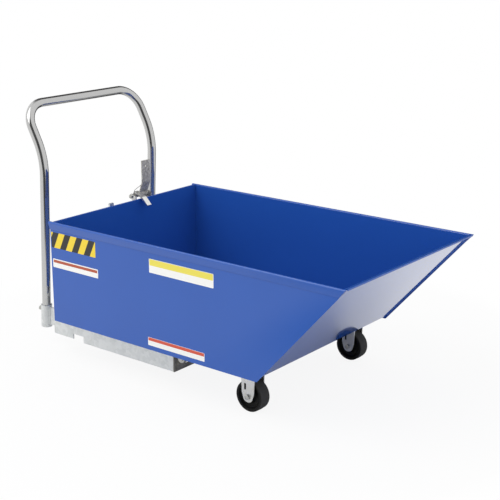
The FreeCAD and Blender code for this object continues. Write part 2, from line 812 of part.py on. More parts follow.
def latch_hook():
    """Lower arm of the latch, turned back to catch the keeper bar."""
    low_z = pivot_z - hook_drop
    tip_x = keeper_x + keeper_diameter / 2 + hook_clear
    arm = bent_bar([(pivot_x, pivot_z), (pivot_x, low_z), (tip_x, low_z)],
                   hook_bend, hook_bar, latch_barrel_end - hook_width, latch_barrel_end)
    return off_barrel(arm)


def latch_pivot():
    """Pivot bolt of the latch lever with its head on the right-hand ear."""
    far = ear_starts[1] + latch_ear
    shank = rod_y(pivot_x, latch_first_ear, far + latch_nut_height + shaft_end, pivot_z, latch_bolt)
    head = hexagon(V(pivot_x, latch_first_ear, pivot_z), V(0, -1, 0), latch_bolt_hex, latch_bolt_head)
    return shank.fuse(head).removeSplitter()


def latch_nut():
    """Nut on the left-hand ear."""
    far = ear_starts[1] + latch_ear
    nut = hexagon(V(pivot_x, far, pivot_z), V(0, 1, 0), latch_bolt_hex, latch_nut_height)
    return nut.cut(rod_y(pivot_x, 0, hopper_width, pivot_z, latch_bolt))


strap_slope = math.atan2(strap_knee_shift, strap_knee_height)
coil_radius = latch_bolt / 2 + spring_gap + spring_wire / 2
coil_start_y = latch_first_ear + latch_ear + spring_gap + spring_wire / 2


def beside_strap(along, off, y):
    """Point at a distance along the strap's lower run from the pivot, and off its middle to the rear."""
    return V(pivot_x + along * math.sin(strap_slope) - off * math.cos(strap_slope), y,
             pivot_z + along * math.cos(strap_slope) + off * math.sin(strap_slope))


def touch_angle(point, side):
    """Angle round the pivot at which a straight leg from the point meets the coil."""
    reach = math.hypot(point.x - pivot_x, point.z - pivot_z)
    return math.atan2(point.z - pivot_z, point.x - pivot_x) + side * math.acos(coil_radius / reach)


def latch_spring():
    """Torsion spring round the pivot bolt, from a tail on the rear wall to a leg behind the strap.

    The coil is a helix about Y in equal arcs of about a quarter turn.
    """
    off = strap_thickness / 2 + spring_wire / 2 + spring_touch
    coil_end_y = coil_start_y + spring_turns * spring_lead
    leg_corner = beside_strap(spring_leg, off, coil_end_y)
    leg_tip = beside_strap(spring_leg + spring_leg_rise, off, spring_leg_end)
    tail_tip = V(rear_x - spring_wire / 2 - spring_touch, coil_start_y, pivot_z - spring_tail_drop)
    last = touch_angle(leg_corner, 1)
    first = touch_angle(tail_tip, -1)
    sweep = (first - last) % math.tau + math.tau * (spring_turns - 1)
    steps = 4 * spring_turns

    def on_coil(step):
        angle = last + sweep * (1 - step / steps)
        y = coil_start_y + (coil_end_y - coil_start_y) * step / steps
        return V(pivot_x + coil_radius * math.cos(angle), y, pivot_z + coil_radius * math.sin(angle))

    arcs = [Part.Arc(on_coil(n), on_coil(n + 1 / 2), on_coil(n + 1)).toShape() for n in range(steps)]
    leg = rounded_path([on_coil(steps), leg_corner, leg_tip], [spring_leg_bend])
    path = Part.Wire([Part.makeLine(tail_tip, on_coil(0))] + arcs + leg.Edges)
    fine_steps = 16 * steps
    points = [on_coil(n * steps / fine_steps) for n in range(fine_steps + 1)]
    apart = fine_steps // (2 * spring_turns)
    gap = min(a.distanceToPoint(b) for i, a in enumerate(points) for b in points[i + apart:]) - spring_wire
    print("latch_spring least gap between turns", round(gap, 3))
    return swept(path, spring_wire)


def build():
    """All nodes of the trolley by name."""
    left = front_axle_offset
    x, right = front_axle_x, -front_axle_offset
    rear_axle_x = swivel_x - swivel_trail
    panel, lug, guide, channel = side_panel(), hinge_lug(), fork_guide(), side_channel()
    nodes = {
        "side_panel_left": panel,
        "side_panel_right": mirrored(panel),
        "rear_wall": rear_wall(),
        "floor_sheet": floor_sheet(),
        "front_sheet": front_sheet(),
        "hinge_lugs": pair(lug),
        "latch_ears": latch_ears(),
        "latch_lever": latch_lever(),
        "latch_barrel": latch_barrel_tube(),
        "latch_tab": latch_tab(),
        "latch_hook": latch_hook(),
        "latch_pivot_bolt": latch_pivot(),
        "latch_pivot_nut": latch_nut(),
        "latch_spring": latch_spring(),
        "side_channel_left": channel,
        "side_channel_right": mirrored(channel),
        "frame_front_plate": end_plate_with_windows(frame_front_x, frame_bottom),
        "frame_rear_plate": end_plate_with_windows(frame_rear_x - end_plate, frame_bottom + heel_lift),
        "fork_guide_left": guide,
        "fork_guide_right": mirrored(guide),
        "caster_bed": caster_bed_plate(),
        "hinge_ears": hinge_ears(),
        "hinge_pins": pair(hinge_pin()),
        "hinge_pin_collars": pin_collars(),
        "latch_posts": latch_posts(),
        "keeper_bar": keeper_bar(),
        "push_handle": handle(),
        "handle_clamp_bolts": pair(clamp_bolt_left()),
        "handle_clamp_nuts": pair(clamp_nut_left()),
        "rear_caster_plate": swivel_plate(),
        "rear_swivel_race": swivel_race(),
        "rear_kingpin": swivel_kingpin(),
        "rear_swivel_fork": swivel_fork(),
        "rear_wheel": wheel(rear_axle_x, 0),
        "rear_wheel_bush": bush(rear_axle_x, 0),
        "rear_axle_bolt": axle_bolt(rear_axle_x, 0),
        "rear_axle_nut": axle_nut(rear_axle_x, 0),
        "rear_caster_bolts": plate_bolts(swivel_x, 0, caster_height + caster_bed),
    }
    arm, cup = socket_arm(), socket()
    for side, y in (("left", left), ("right", right)):
        nodes["front_caster_fork_" + side] = rigid_fork(x, y)
        nodes["front_caster_pad_" + side] = caster_pad(x, y)
        nodes["front_wheel_" + side] = wheel(x, y)
        nodes["front_wheel_bush_" + side] = bush(x, y)
        nodes["front_axle_bolt_" + side] = axle_bolt(x, y)
        nodes["front_axle_nut_" + side] = axle_nut(x, y)
        nodes["front_caster_bolts_" + side] = plate_bolts(x, y, caster_height + pad_wall)
        nodes["handle_arm_" + side] = arm if y > 0 else mirrored(arm)
        nodes["handle_socket_" + side] = cup if y > 0 else mirrored(cup)
    return nodes


os.makedirs("parts", exist_ok=True)
for name, shape in build().items():
    shape.exportStep("parts/" + name + ".step")
    print(name, len(shape.Solids), shape.isValid(), round(shape.Volume))
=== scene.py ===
"""Looks of a tipping skip trolley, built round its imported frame.

Sizes in the classes are millimetres, and MM turns them into the frame's metres. The frame has +X
towards the dump lip, +Y to the left and +Z up.
"""
import logging
import math
from dataclasses import dataclass
from enum import Enum

import bmesh
import bpy
import numpy as np
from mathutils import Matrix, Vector


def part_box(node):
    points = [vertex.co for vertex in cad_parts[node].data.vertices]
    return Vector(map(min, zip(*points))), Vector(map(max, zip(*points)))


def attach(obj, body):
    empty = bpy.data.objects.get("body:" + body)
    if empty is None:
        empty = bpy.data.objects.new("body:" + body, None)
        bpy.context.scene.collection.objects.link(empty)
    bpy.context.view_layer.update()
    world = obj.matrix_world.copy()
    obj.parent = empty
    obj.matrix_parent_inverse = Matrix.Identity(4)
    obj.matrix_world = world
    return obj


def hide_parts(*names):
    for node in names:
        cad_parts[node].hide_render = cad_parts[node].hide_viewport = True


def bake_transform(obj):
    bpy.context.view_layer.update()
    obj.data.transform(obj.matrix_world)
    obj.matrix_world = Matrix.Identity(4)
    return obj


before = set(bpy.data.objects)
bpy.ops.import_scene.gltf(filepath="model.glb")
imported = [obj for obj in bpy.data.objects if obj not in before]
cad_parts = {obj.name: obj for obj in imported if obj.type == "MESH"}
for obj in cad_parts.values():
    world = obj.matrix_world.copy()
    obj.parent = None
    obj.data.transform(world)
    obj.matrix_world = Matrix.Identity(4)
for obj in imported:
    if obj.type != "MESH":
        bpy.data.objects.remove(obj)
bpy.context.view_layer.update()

MM = 0.001
SHEET = 3.0
MERGE = 1e-6
TINY = 1e-9
TREAD = "tread"
FILM_MAP = "film"
LOG = logging.getLogger("trolley")

Array = np.ndarray
Tree = bpy.types.NodeTree
Node = bpy.types.Node
Socket = bpy.types.NodeSocket
Source = Node | Socket
Piece = bpy.types.Object
Point = tuple[float, float, float]
Run = tuple[Point, Point]

AXIS_X, AXIS_Y, AXIS_Z = np.eye(3)


class Slot(Enum):
    """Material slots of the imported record."""

    PAINT = "blue_paint"
    CHROME = "chrome_tube"
    CASTER = "caster_zinc"
    RUBBER = "wheel_rubber"
    FASTENER = "fastener_zinc"
    LATCH = "latch_steel"
    SPRING = "spring_steel"
    FRAME = "galvanised_steel"


class Side(Enum):
    """The two sides of the trolley, as the sign of Y."""

    LEFT = 1
    RIGHT = -1


class Print(Enum):
    """What is printed on a vinyl film."""

    STRIPES = "stripes"
    BAND = "band"


def linear(colour: str) -> tuple[float, float, float, float]:
    """Turns an sRGB hex colour into linear light, straight up to the knee and a power above it.

    Args:
        colour: six hex digits.
    Returns:
        Linear red, green, blue and an alpha of one.
    """
    knee, slope, lift, power = 0.04045, 12.92, 0.055, 2.4
    levels = np.array([int(colour[i:i + 2], 16) for i in (0, 2, 4)]) / 255
    curve = np.where(levels <= knee, levels / slope, ((levels + lift) / (1 + lift)) ** power)
    return (*curve.tolist(), 1.0)


def per_metre(size: float) -> float:
    """Texture scale that repeats a pattern every size millimetres."""
    return 1 / (size * MM)


def feed(tree: Tree, node: Node, inputs: dict) -> None:
    """Sets or links a node's inputs.

    Args:
        tree: node tree that holds the node.
        node: node to feed.
        inputs: by the name or number of an input, its value, or the output or node it comes from.
            A node stands for its first output.
    """
    for key, value in inputs.items():
        value = value.outputs[0] if isinstance(value, Node) else value
        if isinstance(value, Socket):
            tree.links.new(value, node.inputs[key])
        else:
            node.inputs[key].default_value = value


def add_node(tree: Tree, kind: str, inputs: dict | None = None, **settings: object) -> Node:
    """Adds one node with its settings and links.

    Args:
        tree: node tree that takes the node.
        kind: Blender's type name of the node.
        inputs: as in feed().
        settings: the node's own properties.
    Returns:
        The new node.
    """
    made = tree.nodes.new(kind)
    for name, value in settings.items():
        setattr(made, name, value)
    feed(tree, made, inputs or {})
    return made


@dataclass(frozen=True)
class Relief:
    """Low relief of a surface, as a bump over noise of one size."""

    size: float
    strength: float
    depth: float
    detail: float = 2.0


@dataclass(frozen=True)
class Finish:
    """A surface finish that becomes a material on first use."""

    # One tone or roughness is set as it is, and two are mixed by their share. Patches are the size
    # of the pattern behind the shares, and sockets are the shader's other constants
    name: str
    tones: tuple[str, ...]
    rough: tuple[float, ...]
    patch: float
    reliefs: tuple[Relief, ...] = ()
    sockets: tuple[tuple[str, float], ...] = ()
    detail: float = 2.0
    spread: tuple[float, ...] = ()

    def material(self) -> bpy.types.Material:
        """The finish as a material, made once."""
        return bpy.data.materials.get(self.name) or self._mixed()

    def _mixed(self) -> bpy.types.Material:
        """Makes the material, with each relief laid on the one before.

        Returns:
            The new material.
        """
        made = bpy.data.materials.new(self.name)
        made.use_nodes = True
        tree = made.node_tree
        place = self.place(tree)
        tone, dull = self.shares(tree, place)
        looks = dict(self.sockets)
        first, last = linear(self.tones[0]), linear(self.tones[-1])
        looks["Base Color"] = first if len(self.tones) == 1 else add_node(tree, "ShaderNodeMix", {
            0: tone, 6: first, 7: last}, data_type="RGBA").outputs[2]
        looks["Roughness"] = self.rough[0] if len(self.rough) == 1 else add_node(
            tree, "ShaderNodeMapRange", {0: dull, 3: self.rough[0], 4: self.rough[1]})
        for relief in self.reliefs:
            noise = add_node(tree, "ShaderNodeTexNoise", {
                "Vector": place, "Scale": per_metre(relief.size), "Detail": relief.detail})
            under = {"Normal": looks["Normal"]} if "Normal" in looks else {}
            looks["Normal"] = add_node(tree, "ShaderNodeBump", under | {
                "Height": noise, "Strength": relief.strength, "Distance": relief.depth * MM})
        feed(tree, tree.nodes["Principled BSDF"], looks)
        return made

    def place(self, tree: Tree) -> Socket:
        """Adds the output that the patterns read, which holds the place on the piece."""
        return add_node(tree, "ShaderNodeTexCoord").outputs["Object"]

    def shares(self, tree: Tree, place: Socket) -> tuple[Source, Source]:
        """Shares of the second tone and of the second roughness, here one cloudy noise.

        Args:
            tree: the material's node tree.
            place: output that holds the place on the piece.
        Returns:
            What holds each share.
        """
        cloud = add_node(tree, "ShaderNodeTexNoise", {
            "Vector": place, "Scale": per_metre(self.patch), "Detail": self.detail})
        if self.spread:
            cloud = add_node(tree, "ShaderNodeMapRange", {
                0: cloud, 1: self.spread[0], 2: self.spread[1]})
        return cloud, cloud


@dataclass(frozen=True)
class SpangledZinc(Finish):
    """Finish whose patches are crystals, each with its own tone and roughness."""

    def shares(self, tree: Tree, place: Socket) -> tuple[Source, Source]:
        """Shares from the random colours of cells whose edges are bent by noise.

        Args:
            tree: the material's node tree.
            place: output that holds the place on the piece.
        Returns:
            What holds each share.
        """
        scale = per_metre(self.patch)
        bend = add_node(tree, "ShaderNodeTexNoise", {"Vector": place, "Scale": scale})
        reach = (self.patch * MM,) * 3
        grown = add_node(tree, "ShaderNodeVectorMath", {
            0: bend.outputs["Color"], 1: reach, 2: place}, operation="MULTIPLY_ADD")
        cells = add_node(tree, "ShaderNodeTexVoronoi", {"Vector": grown, "Scale": scale})
        chance = add_node(tree, "ShaderNodeSeparateColor", {0: cells.outputs["Color"]}).outputs
        return chance[0], chance[1]


@dataclass(frozen=True)
class TreadRubber(Finish):
    """Finish that goes from a wheel's near black sides to its dark grey tread."""

    least_tread_grey: float = 0.65

    def shares(self, tree: Tree, place: Socket) -> tuple[Source, Source]:
        """Share of the tread's grey: the wheel's tread attribute times streaks of noise.

        Args:
            tree: the material's node tree.
            place: output that holds the place on the piece.
        Returns:
            What holds each share.
        """
        on_tread = add_node(tree, "ShaderNodeAttribute", attribute_name=TREAD).outputs["Fac"]
        cloud, _ = super().shares(tree, place)
        streak = add_node(tree, "ShaderNodeMapRange", {0: cloud, 3: self.least_tread_grey})
        tread_grey = add_node(tree, "ShaderNodeMath", {0: on_tread, 1: streak}, operation="MULTIPLY")
        return tread_grey, tread_grey


@dataclass(frozen=True)
class VinylFilm(Finish):
    """Printed vinyl film on the painted panel."""

    # Cast film with a printed face: flat even colour under a satin clear layer, with a faint roll
    # grain as its patches
    rough: tuple[float, ...] = (0.28, 0.40)
    patch: float = 2.5
    sockets: tuple[tuple[str, float], ...] = (("IOR", 1.46),)
    printed: Print = Print.BAND
    width: float = 0.0
    height: float = 0.0
    margin: float = 4.0
    band_top: float = 0.0
    band_height: float = 0.0
    period: float = 70.0
    lean: float = 0.478
    first: float = 15.0
    ink_share: float = 0.5

    def place(self, tree: Tree) -> Socket:
        """Adds the output that holds the place on the film, in metres from a lower corner."""
        return add_node(tree, "ShaderNodeUVMap", uv_map=FILM_MAP).outputs[0]

    def shares(self, tree: Tree, place: Socket) -> tuple[Source, Source]:
        """Share of ink from the print, and of roughness from the roll grain.

        Stripes have ink where the run along the film, less its lean, starts a period. A band has it
        within the band's height and the side margins.

        Args:
            tree: the material's node tree.
            place: output that holds the place on the film.
        Returns:
            What holds each share.
        """
        film = add_node(tree, "ShaderNodeSeparateXYZ", {0: place}).outputs
        if self.printed is Print.STRIPES:
            run = add_node(tree, "ShaderNodeMath", {
                0: film[1], 1: -self.lean, 2: film[0]}, operation="MULTIPLY_ADD")
            turns = add_node(tree, "ShaderNodeMath", {
                0: run, 1: per_metre(self.period), 2: 1 / 2 - self.first / self.period},
                operation="MULTIPLY_ADD")
            part = add_node(tree, "ShaderNodeMath", {0: turns}, operation="FRACT")
            ink = add_node(tree, "ShaderNodeMath", {
                0: part, 1: self.ink_share}, operation="LESS_THAN")
        else:
            middles = (self.width / 2, self.height - self.band_top - self.band_height / 2)
            halves = (self.width / 2 - self.margin, self.band_height / 2)
            along, up = (add_node(tree, "ShaderNodeMath", {
                0: film[axis], 1: middles[axis] * MM, 2: halves[axis] * MM}, operation="COMPARE")
                for axis in (0, 1))
            ink = add_node(tree, "ShaderNodeMath", {0: along, 1: up}, operation="MULTIPLY")
        return ink, super().shares(tree, place)[1]


# Sprayed and baked: a deep even blue under a clear gloss that mirrors at a low angle, with a slow
# buckle of the sheet that bends what it mirrors, and a fine orange peel
ENAMEL = Finish(
    "gloss_stoved_enamel_on_steel_sheet", tones=("2656AC", "285AB3"), rough=(0.06, 0.12),
    patch=240.0, reliefs=(Relief(340.0, 0.35, 2.0, 0.0), Relief(4.0, 0.05, 0.1, 1.0)), sockets=(
        ("IOR", 1.33), ("Coat Weight", 1.0), ("Coat IOR", 1.33), ("Coat Roughness", 0.05)))
# Zinc freezes on the plate in flat crystals: a pale grey, half dull metal with a faint spangle
# whose grains catch the light one by one
GALVANISED = SpangledZinc(
    "hot_dip_galvanised_steel", tones=("D5D8D8", "E3E5E5"), rough=(0.40, 0.55), patch=16.0,
    reliefs=(Relief(5.0, 0.12, 0.3),), sockets=(("Metallic", 0.7),))
# Plated over polished tube: a grey mirror under a thin film of dust, with polishing haze in patches
CHROME = Finish(
    "chrome_plate_on_polished_tube", tones=("C0C0BF",), rough=(0.05, 0.12), patch=60.0,
    reliefs=(Relief(90.0, 0.08, 1.0),), sockets=(("Metallic", 0.92),))
# Electroplated: a pale silver metal, smoother than dipped zinc, with cloudy patches and a trace of
# the blue and straw tints of its clear passivation
CASTER_ZINC, FASTENER_ZINC, TAB_ZINC_PAINTED_HIGHLIGHT = (Finish(
    "bright_zinc_plate_on_" + base, tones, rough=(0.24, 0.44), patch=patch,
    reliefs=(Relief(scuff, 0.08, 0.2),), sockets=(("Metallic", 1.0),))
    for base, tones, patch, scuff in (
        ("steel", ("DADCDF", "D7D5CE"), 22.0, 3.0),
        ("fasteners", ("B9BDC0", "BDB9AC"), 8.0, 1.5),
        # bright zinc plate, whose extra paleness over the other zinc is painted highlight for the
        # latch tab's lit top
        ("flat_bar", ("EFF0F1", "ECEAE5"), 14.0, 2.0)))
# Moulded: near black with a soft sheen on its sides, and a streaky dark grey over the tread
RUBBER = TreadRubber(
    "moulded_black_rubber", tones=("060606", "404040"), rough=(0.5, 0.8), patch=9.0,
    reliefs=(Relief(1.6, 0.15, 0.2),), sockets=(("IOR", 1.5), ("Specular IOR Level", 0.2)))
# Hot rolled steel under a thin dull zinc, mottled grey by mill scale; the plate is darker still by
# painted shade
BAR, PAINTED_SHADE_PLATE = (Finish(
    "dull_zinc_on_rolled_" + base, tones, rough=(0.55, 0.38), patch=mottle, detail=4.0,
    spread=(0.35, 0.65), reliefs=(Relief(grain, 0.15, 0.2),), sockets=(("Metallic", 0.2),))
    for base, tones, mottle, grain in (
        ("bar", ("98958E", "C4C1BA"), 11.0, 1.5),
        # painted shade: these darker tones stand in for the hopper's shade on the front plate and
        # hinge ears
        ("plate", ("6B6964", "8B8984"), 30.0, 2.0)))
# Drawn and tempered in oil: a soft grey metal with faint brown stains
WIRE = Finish(
    "oil_tempered_spring_wire", tones=("7C7D7F", "A6A49F"), rough=(0.36,), patch=6.0,
    sockets=(("Metallic", 0.9),))

SLOT_FINISH = {
    Slot.PAINT: ENAMEL, Slot.CHROME: CHROME, Slot.CASTER: CASTER_ZINC, Slot.RUBBER: RUBBER,
    Slot.FASTENER: FASTENER_ZINC, Slot.LATCH: BAR, Slot.SPRING: WIRE, Slot.FRAME: GALVANISED,
}
NODE_FINISH = {
    # painted highlight: the latch tab takes the paler flat bar zinc
    "latch_tab": TAB_ZINC_PAINTED_HIGHLIGHT, "latch_ears": CASTER_ZINC, "latch_posts": GALVANISED,
    # painted shade: the front plate and hinge ears take the darker plate tones
    "frame_front_plate": PAINTED_SHADE_PLATE, "hinge_ears": PAINTED_SHADE_PLATE,
}


def unit(vectors: Array) -> Array:
    """Vectors scaled to a length of one."""
    return vectors / np.linalg.norm(vectors, axis=-1, keepdims=True)


def full_turn(count: int) -> Array:
    """Even angles round a full turn."""
    return np.linspace(0, math.tau, count, endpoint=False)


def spokes(axis: Array, turn: Array) -> Array:
    """Directions square to an axis: u cos + v sin, with u and v square to it and to each other.

    Args:
        axis: direction of the axis.
        turn: angles round it.
    Returns:
        One direction for each angle.
    """
    nearly_upright = 0.9
    u = unit(np.cross(axis, AXIS_Z if abs(axis[2]) < nearly_upright else AXIS_X))
    return np.cos(turn)[..., None] * u + np.sin(turn)[..., None] * np.cross(axis, u)


def rounded(points: Array, radii: list[float], steps: int = 14) -> Array:
    """Line whose inner corners are arcs tangent to both runs.

    At a corner the arc leaves the run radius / tan(half the corner angle) before it, and goes round
    centre + start cos t + travel sin t.

    Args:
        points: the corners in order, one row each.
        radii: arc radius at each inner point.
        steps: points on each arc.
    Returns:
        Points along the line.
    """
    line = [points[:1]]
    for before, corner, after, radius in zip(points, points[1:], points[2:], radii):
        back, onward = unit(before - corner), unit(after - corner)
        half = math.acos(float(np.clip(back @ onward, -1, 1))) / 2
        centre = corner + unit(back + onward) * radius / math.sin(half)
        start = corner + back * radius / math.tan(half) - centre
        turn = np.linspace(0, math.pi - 2 * half, steps)[:, None]
        line.append(centre + start * np.cos(turn) - back * radius * np.sin(turn))
    line.append(points[-1:])
    return np.vstack(line)


def round_plate(size: Array, corner: float, steps: int = 14) -> Array:
    """Outline of a plate about its middle: straight edges joined by quarter circles.

    Args:
        size: length and width of the plate.
        corner: radius of its corners.
        steps: points on each corner.
    Returns:
        Rows of (along, across), from the middle of one edge.
    """
    points = size / 2 * np.array([(-1, 0), (-1, 1), (1, 1), (1, -1), (-1, -1), (-1, 0)])
    return rounded(points, [corner] * 4, steps)[:-1]


def carried(profile: Array, path: Array, level: Point) -> Array:
    """Profile carried along a path, each ring square to it.

    A ring's side is level x tangent and its up is tangent x side, so a point is
    path + side * profile[0] + up * profile[1].

    Args:
        profile: rows of (side, up), or one such set for each point of the path.
        path: points of the path.
        level: direction that is never along the path.
    Returns:
        Grid of points, one row for each point of the path.
    """
    tangent = unit(np.gradient(path, axis=0))
    side = unit(np.cross(unit(np.array(level)), tangent))
    up = np.cross(tangent, side)
    return path[:, None] + profile[..., 0:1] * side[:, None] + profile[..., 1:2] * up[:, None]


def turned(profile: Array, centre: Array, axis: Array, count: int) -> Array:
    """Profile turned about an axis: centre + radius (u cos + v sin) + height axis.

    Args:
        profile: rows of (radius, height).
        centre: point on the axis at height zero.
        axis: direction of the axis.
        count: steps round the turn.
    Returns:
        Grid of points, one row for each step.
    """
    ring = spokes(axis, full_turn(count))[:, None]
    return centre + profile[:, 0:1] * ring + profile[:, 1:2] * axis


def placed(name: str, data: bpy.types.ID) -> Piece:
    """New object of the scene, at the origin.

    Args:
        name: name of the object.
        data: its mesh, lamp or camera.
    Returns:
        The object.
    """
    made = bpy.data.objects.new(name, data)
    bpy.context.scene.collection.objects.link(made)
    return made


class Form:
    """Mesh of one piece, gathered from grids of points."""

    crease = math.radians(32)

    def __init__(self) -> None:
        """Starts with no points and no faces."""
        self.points: list[Array] = []
        self.faces: list[list[int]] = []
        self.count = 0

    def add(self, grid: Array, wrap_rows: bool = False, caps: bool = False) -> None:
        """Adds a grid of points as quads, with its last column joined to the first.

        Args:
            grid: rows x columns x 3 points.
            wrap_rows: joins the last row to the first.
            caps: closes the first and the last row with a flat face.
        """
        rows, columns = grid.shape[:2]
        index = np.arange(rows * columns).reshape(rows, columns) + self.count
        ends = index[[0, -1]].tolist()
        index = np.pad(index, ((0, int(wrap_rows)), (0, 1)), "wrap")
        corners = [index[:-1, :-1], index[1:, :-1], index[1:, 1:], index[:-1, 1:]]
        self.faces += np.stack(corners, -1).reshape(-1, 4).tolist() + (ends if caps else [])
        self.points.append(grid.reshape(-1, 3))
        self.count += rows * columns

    def mesh(self, name: str) -> bpy.types.Mesh:
        """Joins the grids into one mesh with merged poles, outward faces and creased corners.

        Args:
            name: name of the mesh.
        Returns:
            The mesh.
        """
        made = bpy.data.meshes.new(name)
        made.from_pydata(np.vstack(self.points).tolist(), [], self.faces)
        shell = bmesh.new()
        shell.from_mesh(made)
        bmesh.ops.remove_doubles(shell, verts=shell.verts, dist=MERGE)
        bmesh.ops.recalc_face_normals(shell, faces=shell.faces)
        shell.to_mesh(made)
        shell.free()
        made.polygons.foreach_set("use_smooth", np.ones(len(made.polygons), dtype=bool))
        made.set_sharp_from_angle(angle=self.crease)
        return made

    def piece(self, name: str, finish: Finish, slot: Slot | None = None, body: str = "",
              node: str = "") -> Piece:
        """Makes the form an object with its finish.

        Args:
            name: name of the piece.
            finish: its finish.
            slot: record slot that the finish stands for; not used.
            body: body that it rides on, unless it bends between two.
            node: CAD node that it replaces.
        Returns:
            The object.
        """
        made = placed(name, self.mesh(name))
        made.data.materials.append(finish.material())
        if body:
            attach(made, body)
        if node:
            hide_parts(node)
        LOG.info("piece %s: %d faces, %s", name, len(made.data.polygons), finish.name)
        return made


def places_of(mesh: bpy.types.Mesh) -> Array:
    """Places of a mesh's vertices.

    Args:
        mesh: the mesh.
    Returns:
        One row for each vertex.
    """
    places = np.empty(len(mesh.vertices) * 3, dtype=np.float32)
    mesh.vertices.foreach_get("co", places)
    return places.reshape(-1, 3)


def middle_of(node: str) -> Array:
    """Centre of a CAD node's box, in metres."""
    low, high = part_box(node)
    return np.array((low + high) / 2)


def end_of(node: str, axis: int, high: bool) -> float:
    """Lowest or highest place of a CAD node along one axis, in metres."""
    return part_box(node)[int(high)][axis]


def rear_face() -> float:
    """Place of the rear wall's outer face along the trolley, in millimetres."""
    return end_of("rear_wall", 0, True) / MM - SHEET


@dataclass(frozen=True)
class HexBolt:
    """Hexagon bolt with a threaded end, and its nut."""

    flats: float
    head: float
    nut: float
    diameter: float
    pitch: float
    steps: int = 72
    chamfer: float = 0.96
    slope: float = math.tan(math.radians(30))
    columns: int = 36
    rows_per_turn: int = 8
    least_turns: int = 2
    depth_share: float = 0.55
    collar_share: float = 0.47
    collar_bends: tuple[float, float] = (0.5, 1.6)
    bend_steps: int = 6
    collar_steps: int = 48

    def hexagon(self, seat: Array, axis: Array, height: float, bore: float = 0.0) -> Array:
        """Rings of a head, or of a nut with its bore, whose corners are turned off.

        The hexagon reaches apothem / cos(angle from the nearest flat's middle), and past the
        chamfer circle the face falls away by its slope.

        Args:
            seat: centre of the seat, in metres.
            axis: direction from the seat to the face.
            height: height from the seat to the face.
            bore: diameter of a nut's bore.
        Returns:
            Grid of points, one row for each step round the hexagon.
        """
        turn = full_turn(self.steps)
        sixth = math.tau / 6
        reach = self.flats / 2 / np.cos((turn + sixth / 2) % sixth - sixth / 2)
        ring, hole, zero, top = (np.full_like(turn, value) for value in (
            self.flats / 2 * self.chamfer, bore / 2, 0, height))
        drop = np.maximum(reach - ring, 0) * self.slope
        radius = np.stack([hole, hole, ring, reach, reach, ring if bore else reach], -1)
        level = np.stack([zero, top, top, top - drop, drop if bore else zero, zero], -1)
        out = radius[..., None] * spokes(axis, turn)[:, None]
        return seat + (out + level[..., None] * axis) * MM

    def shank(self, seat: Array, axis: Array, length: float, threaded: float) -> Array:
        """Rings of the shank from its head to its chamfered tip.

        The radius falls by a triangle wave of (height / pitch - angle / turn) on its thread.

        Args:
            seat: centre of the shank's head end, in metres.
            axis: direction of the shank.
            length: its length.
            threaded: length of its thread.
        Returns:
            Grid of points, one row for each step along the shank.
        """
        turns = max(self.least_turns, round(threaded / self.pitch))
        wound = np.linspace(length - threaded, length, turns * self.rows_per_turn + 1)
        height = np.concatenate([[0.0], wound])[:, None]
        angle = full_turn(self.columns)[None]
        phase = (height / self.pitch - angle / math.tau) % 1
        groove = self.pitch * self.depth_share * (1 - np.abs(2 * phase - 1))
        tip = np.clip(height - length + self.pitch, 0, None)
        cut = np.maximum(np.where(height > length - threaded + self.pitch, groove, 0), tip)
        out = (self.diameter / 2 - cut)[..., None] * spokes(axis, angle)
        return seat + (out + height[..., None] * axis) * MM

    def add_bolt(self, form: Form, seat: Array, way: Array, length: float, threaded: float) -> None:
        """Adds a bolt to a form, with its head behind the seat and its shank ahead of it.

        Args:
            form: form that takes the bolt.
            seat: centre of the head's seat, in metres.
            way: direction of the shank.
            length: length of the shank.
            threaded: length of its thread.
        """
        form.add(self.hexagon(seat, -way, self.head), wrap_rows=True)
        form.add(self.shank(seat, way, length, threaded), caps=True)

    def build_across(self, bolt: str, nut: str, body: str, threaded: float,
                     collar: float = 0.0) -> None:
        """Builds a bolt across the trolley, with its head to the right and its nut to the left.

        Args:
            bolt: CAD node of the bolt.
            nut: CAD node of the nut.
            body: body that both ride on.
            threaded: length of the bolt's thread.
            collar: height of a lock nut's round collar.
        """
        shaft, lock, seat = Form(), Form(), middle_of(bolt)
        seat[1] = end_of(bolt, 1, False) + self.head * MM
        self.add_bolt(shaft, seat, AXIS_Y, (end_of(bolt, 1, True) - seat[1]) / MM, threaded)
        seat[1] = end_of(nut, 1, False)
        face, bore, rim = self.nut - collar, self.diameter / 2, self.flats * self.collar_share
        lock.add(self.hexagon(seat, AXIS_Y, face, self.diameter), wrap_rows=True)
        if collar:
            corners = np.array([(bore, face), (rim, face), (rim, self.nut), (bore, self.nut)])
            ring = rounded(corners, self.collar_bends, self.bend_steps) * MM
            lock.add(turned(ring, seat, AXIS_Y, self.collar_steps), wrap_rows=True)
        for form, node in ((shaft, bolt), (lock, nut)):
            form.piece(node + "_turned", FASTENER_ZINC, Slot.FASTENER, body, node)


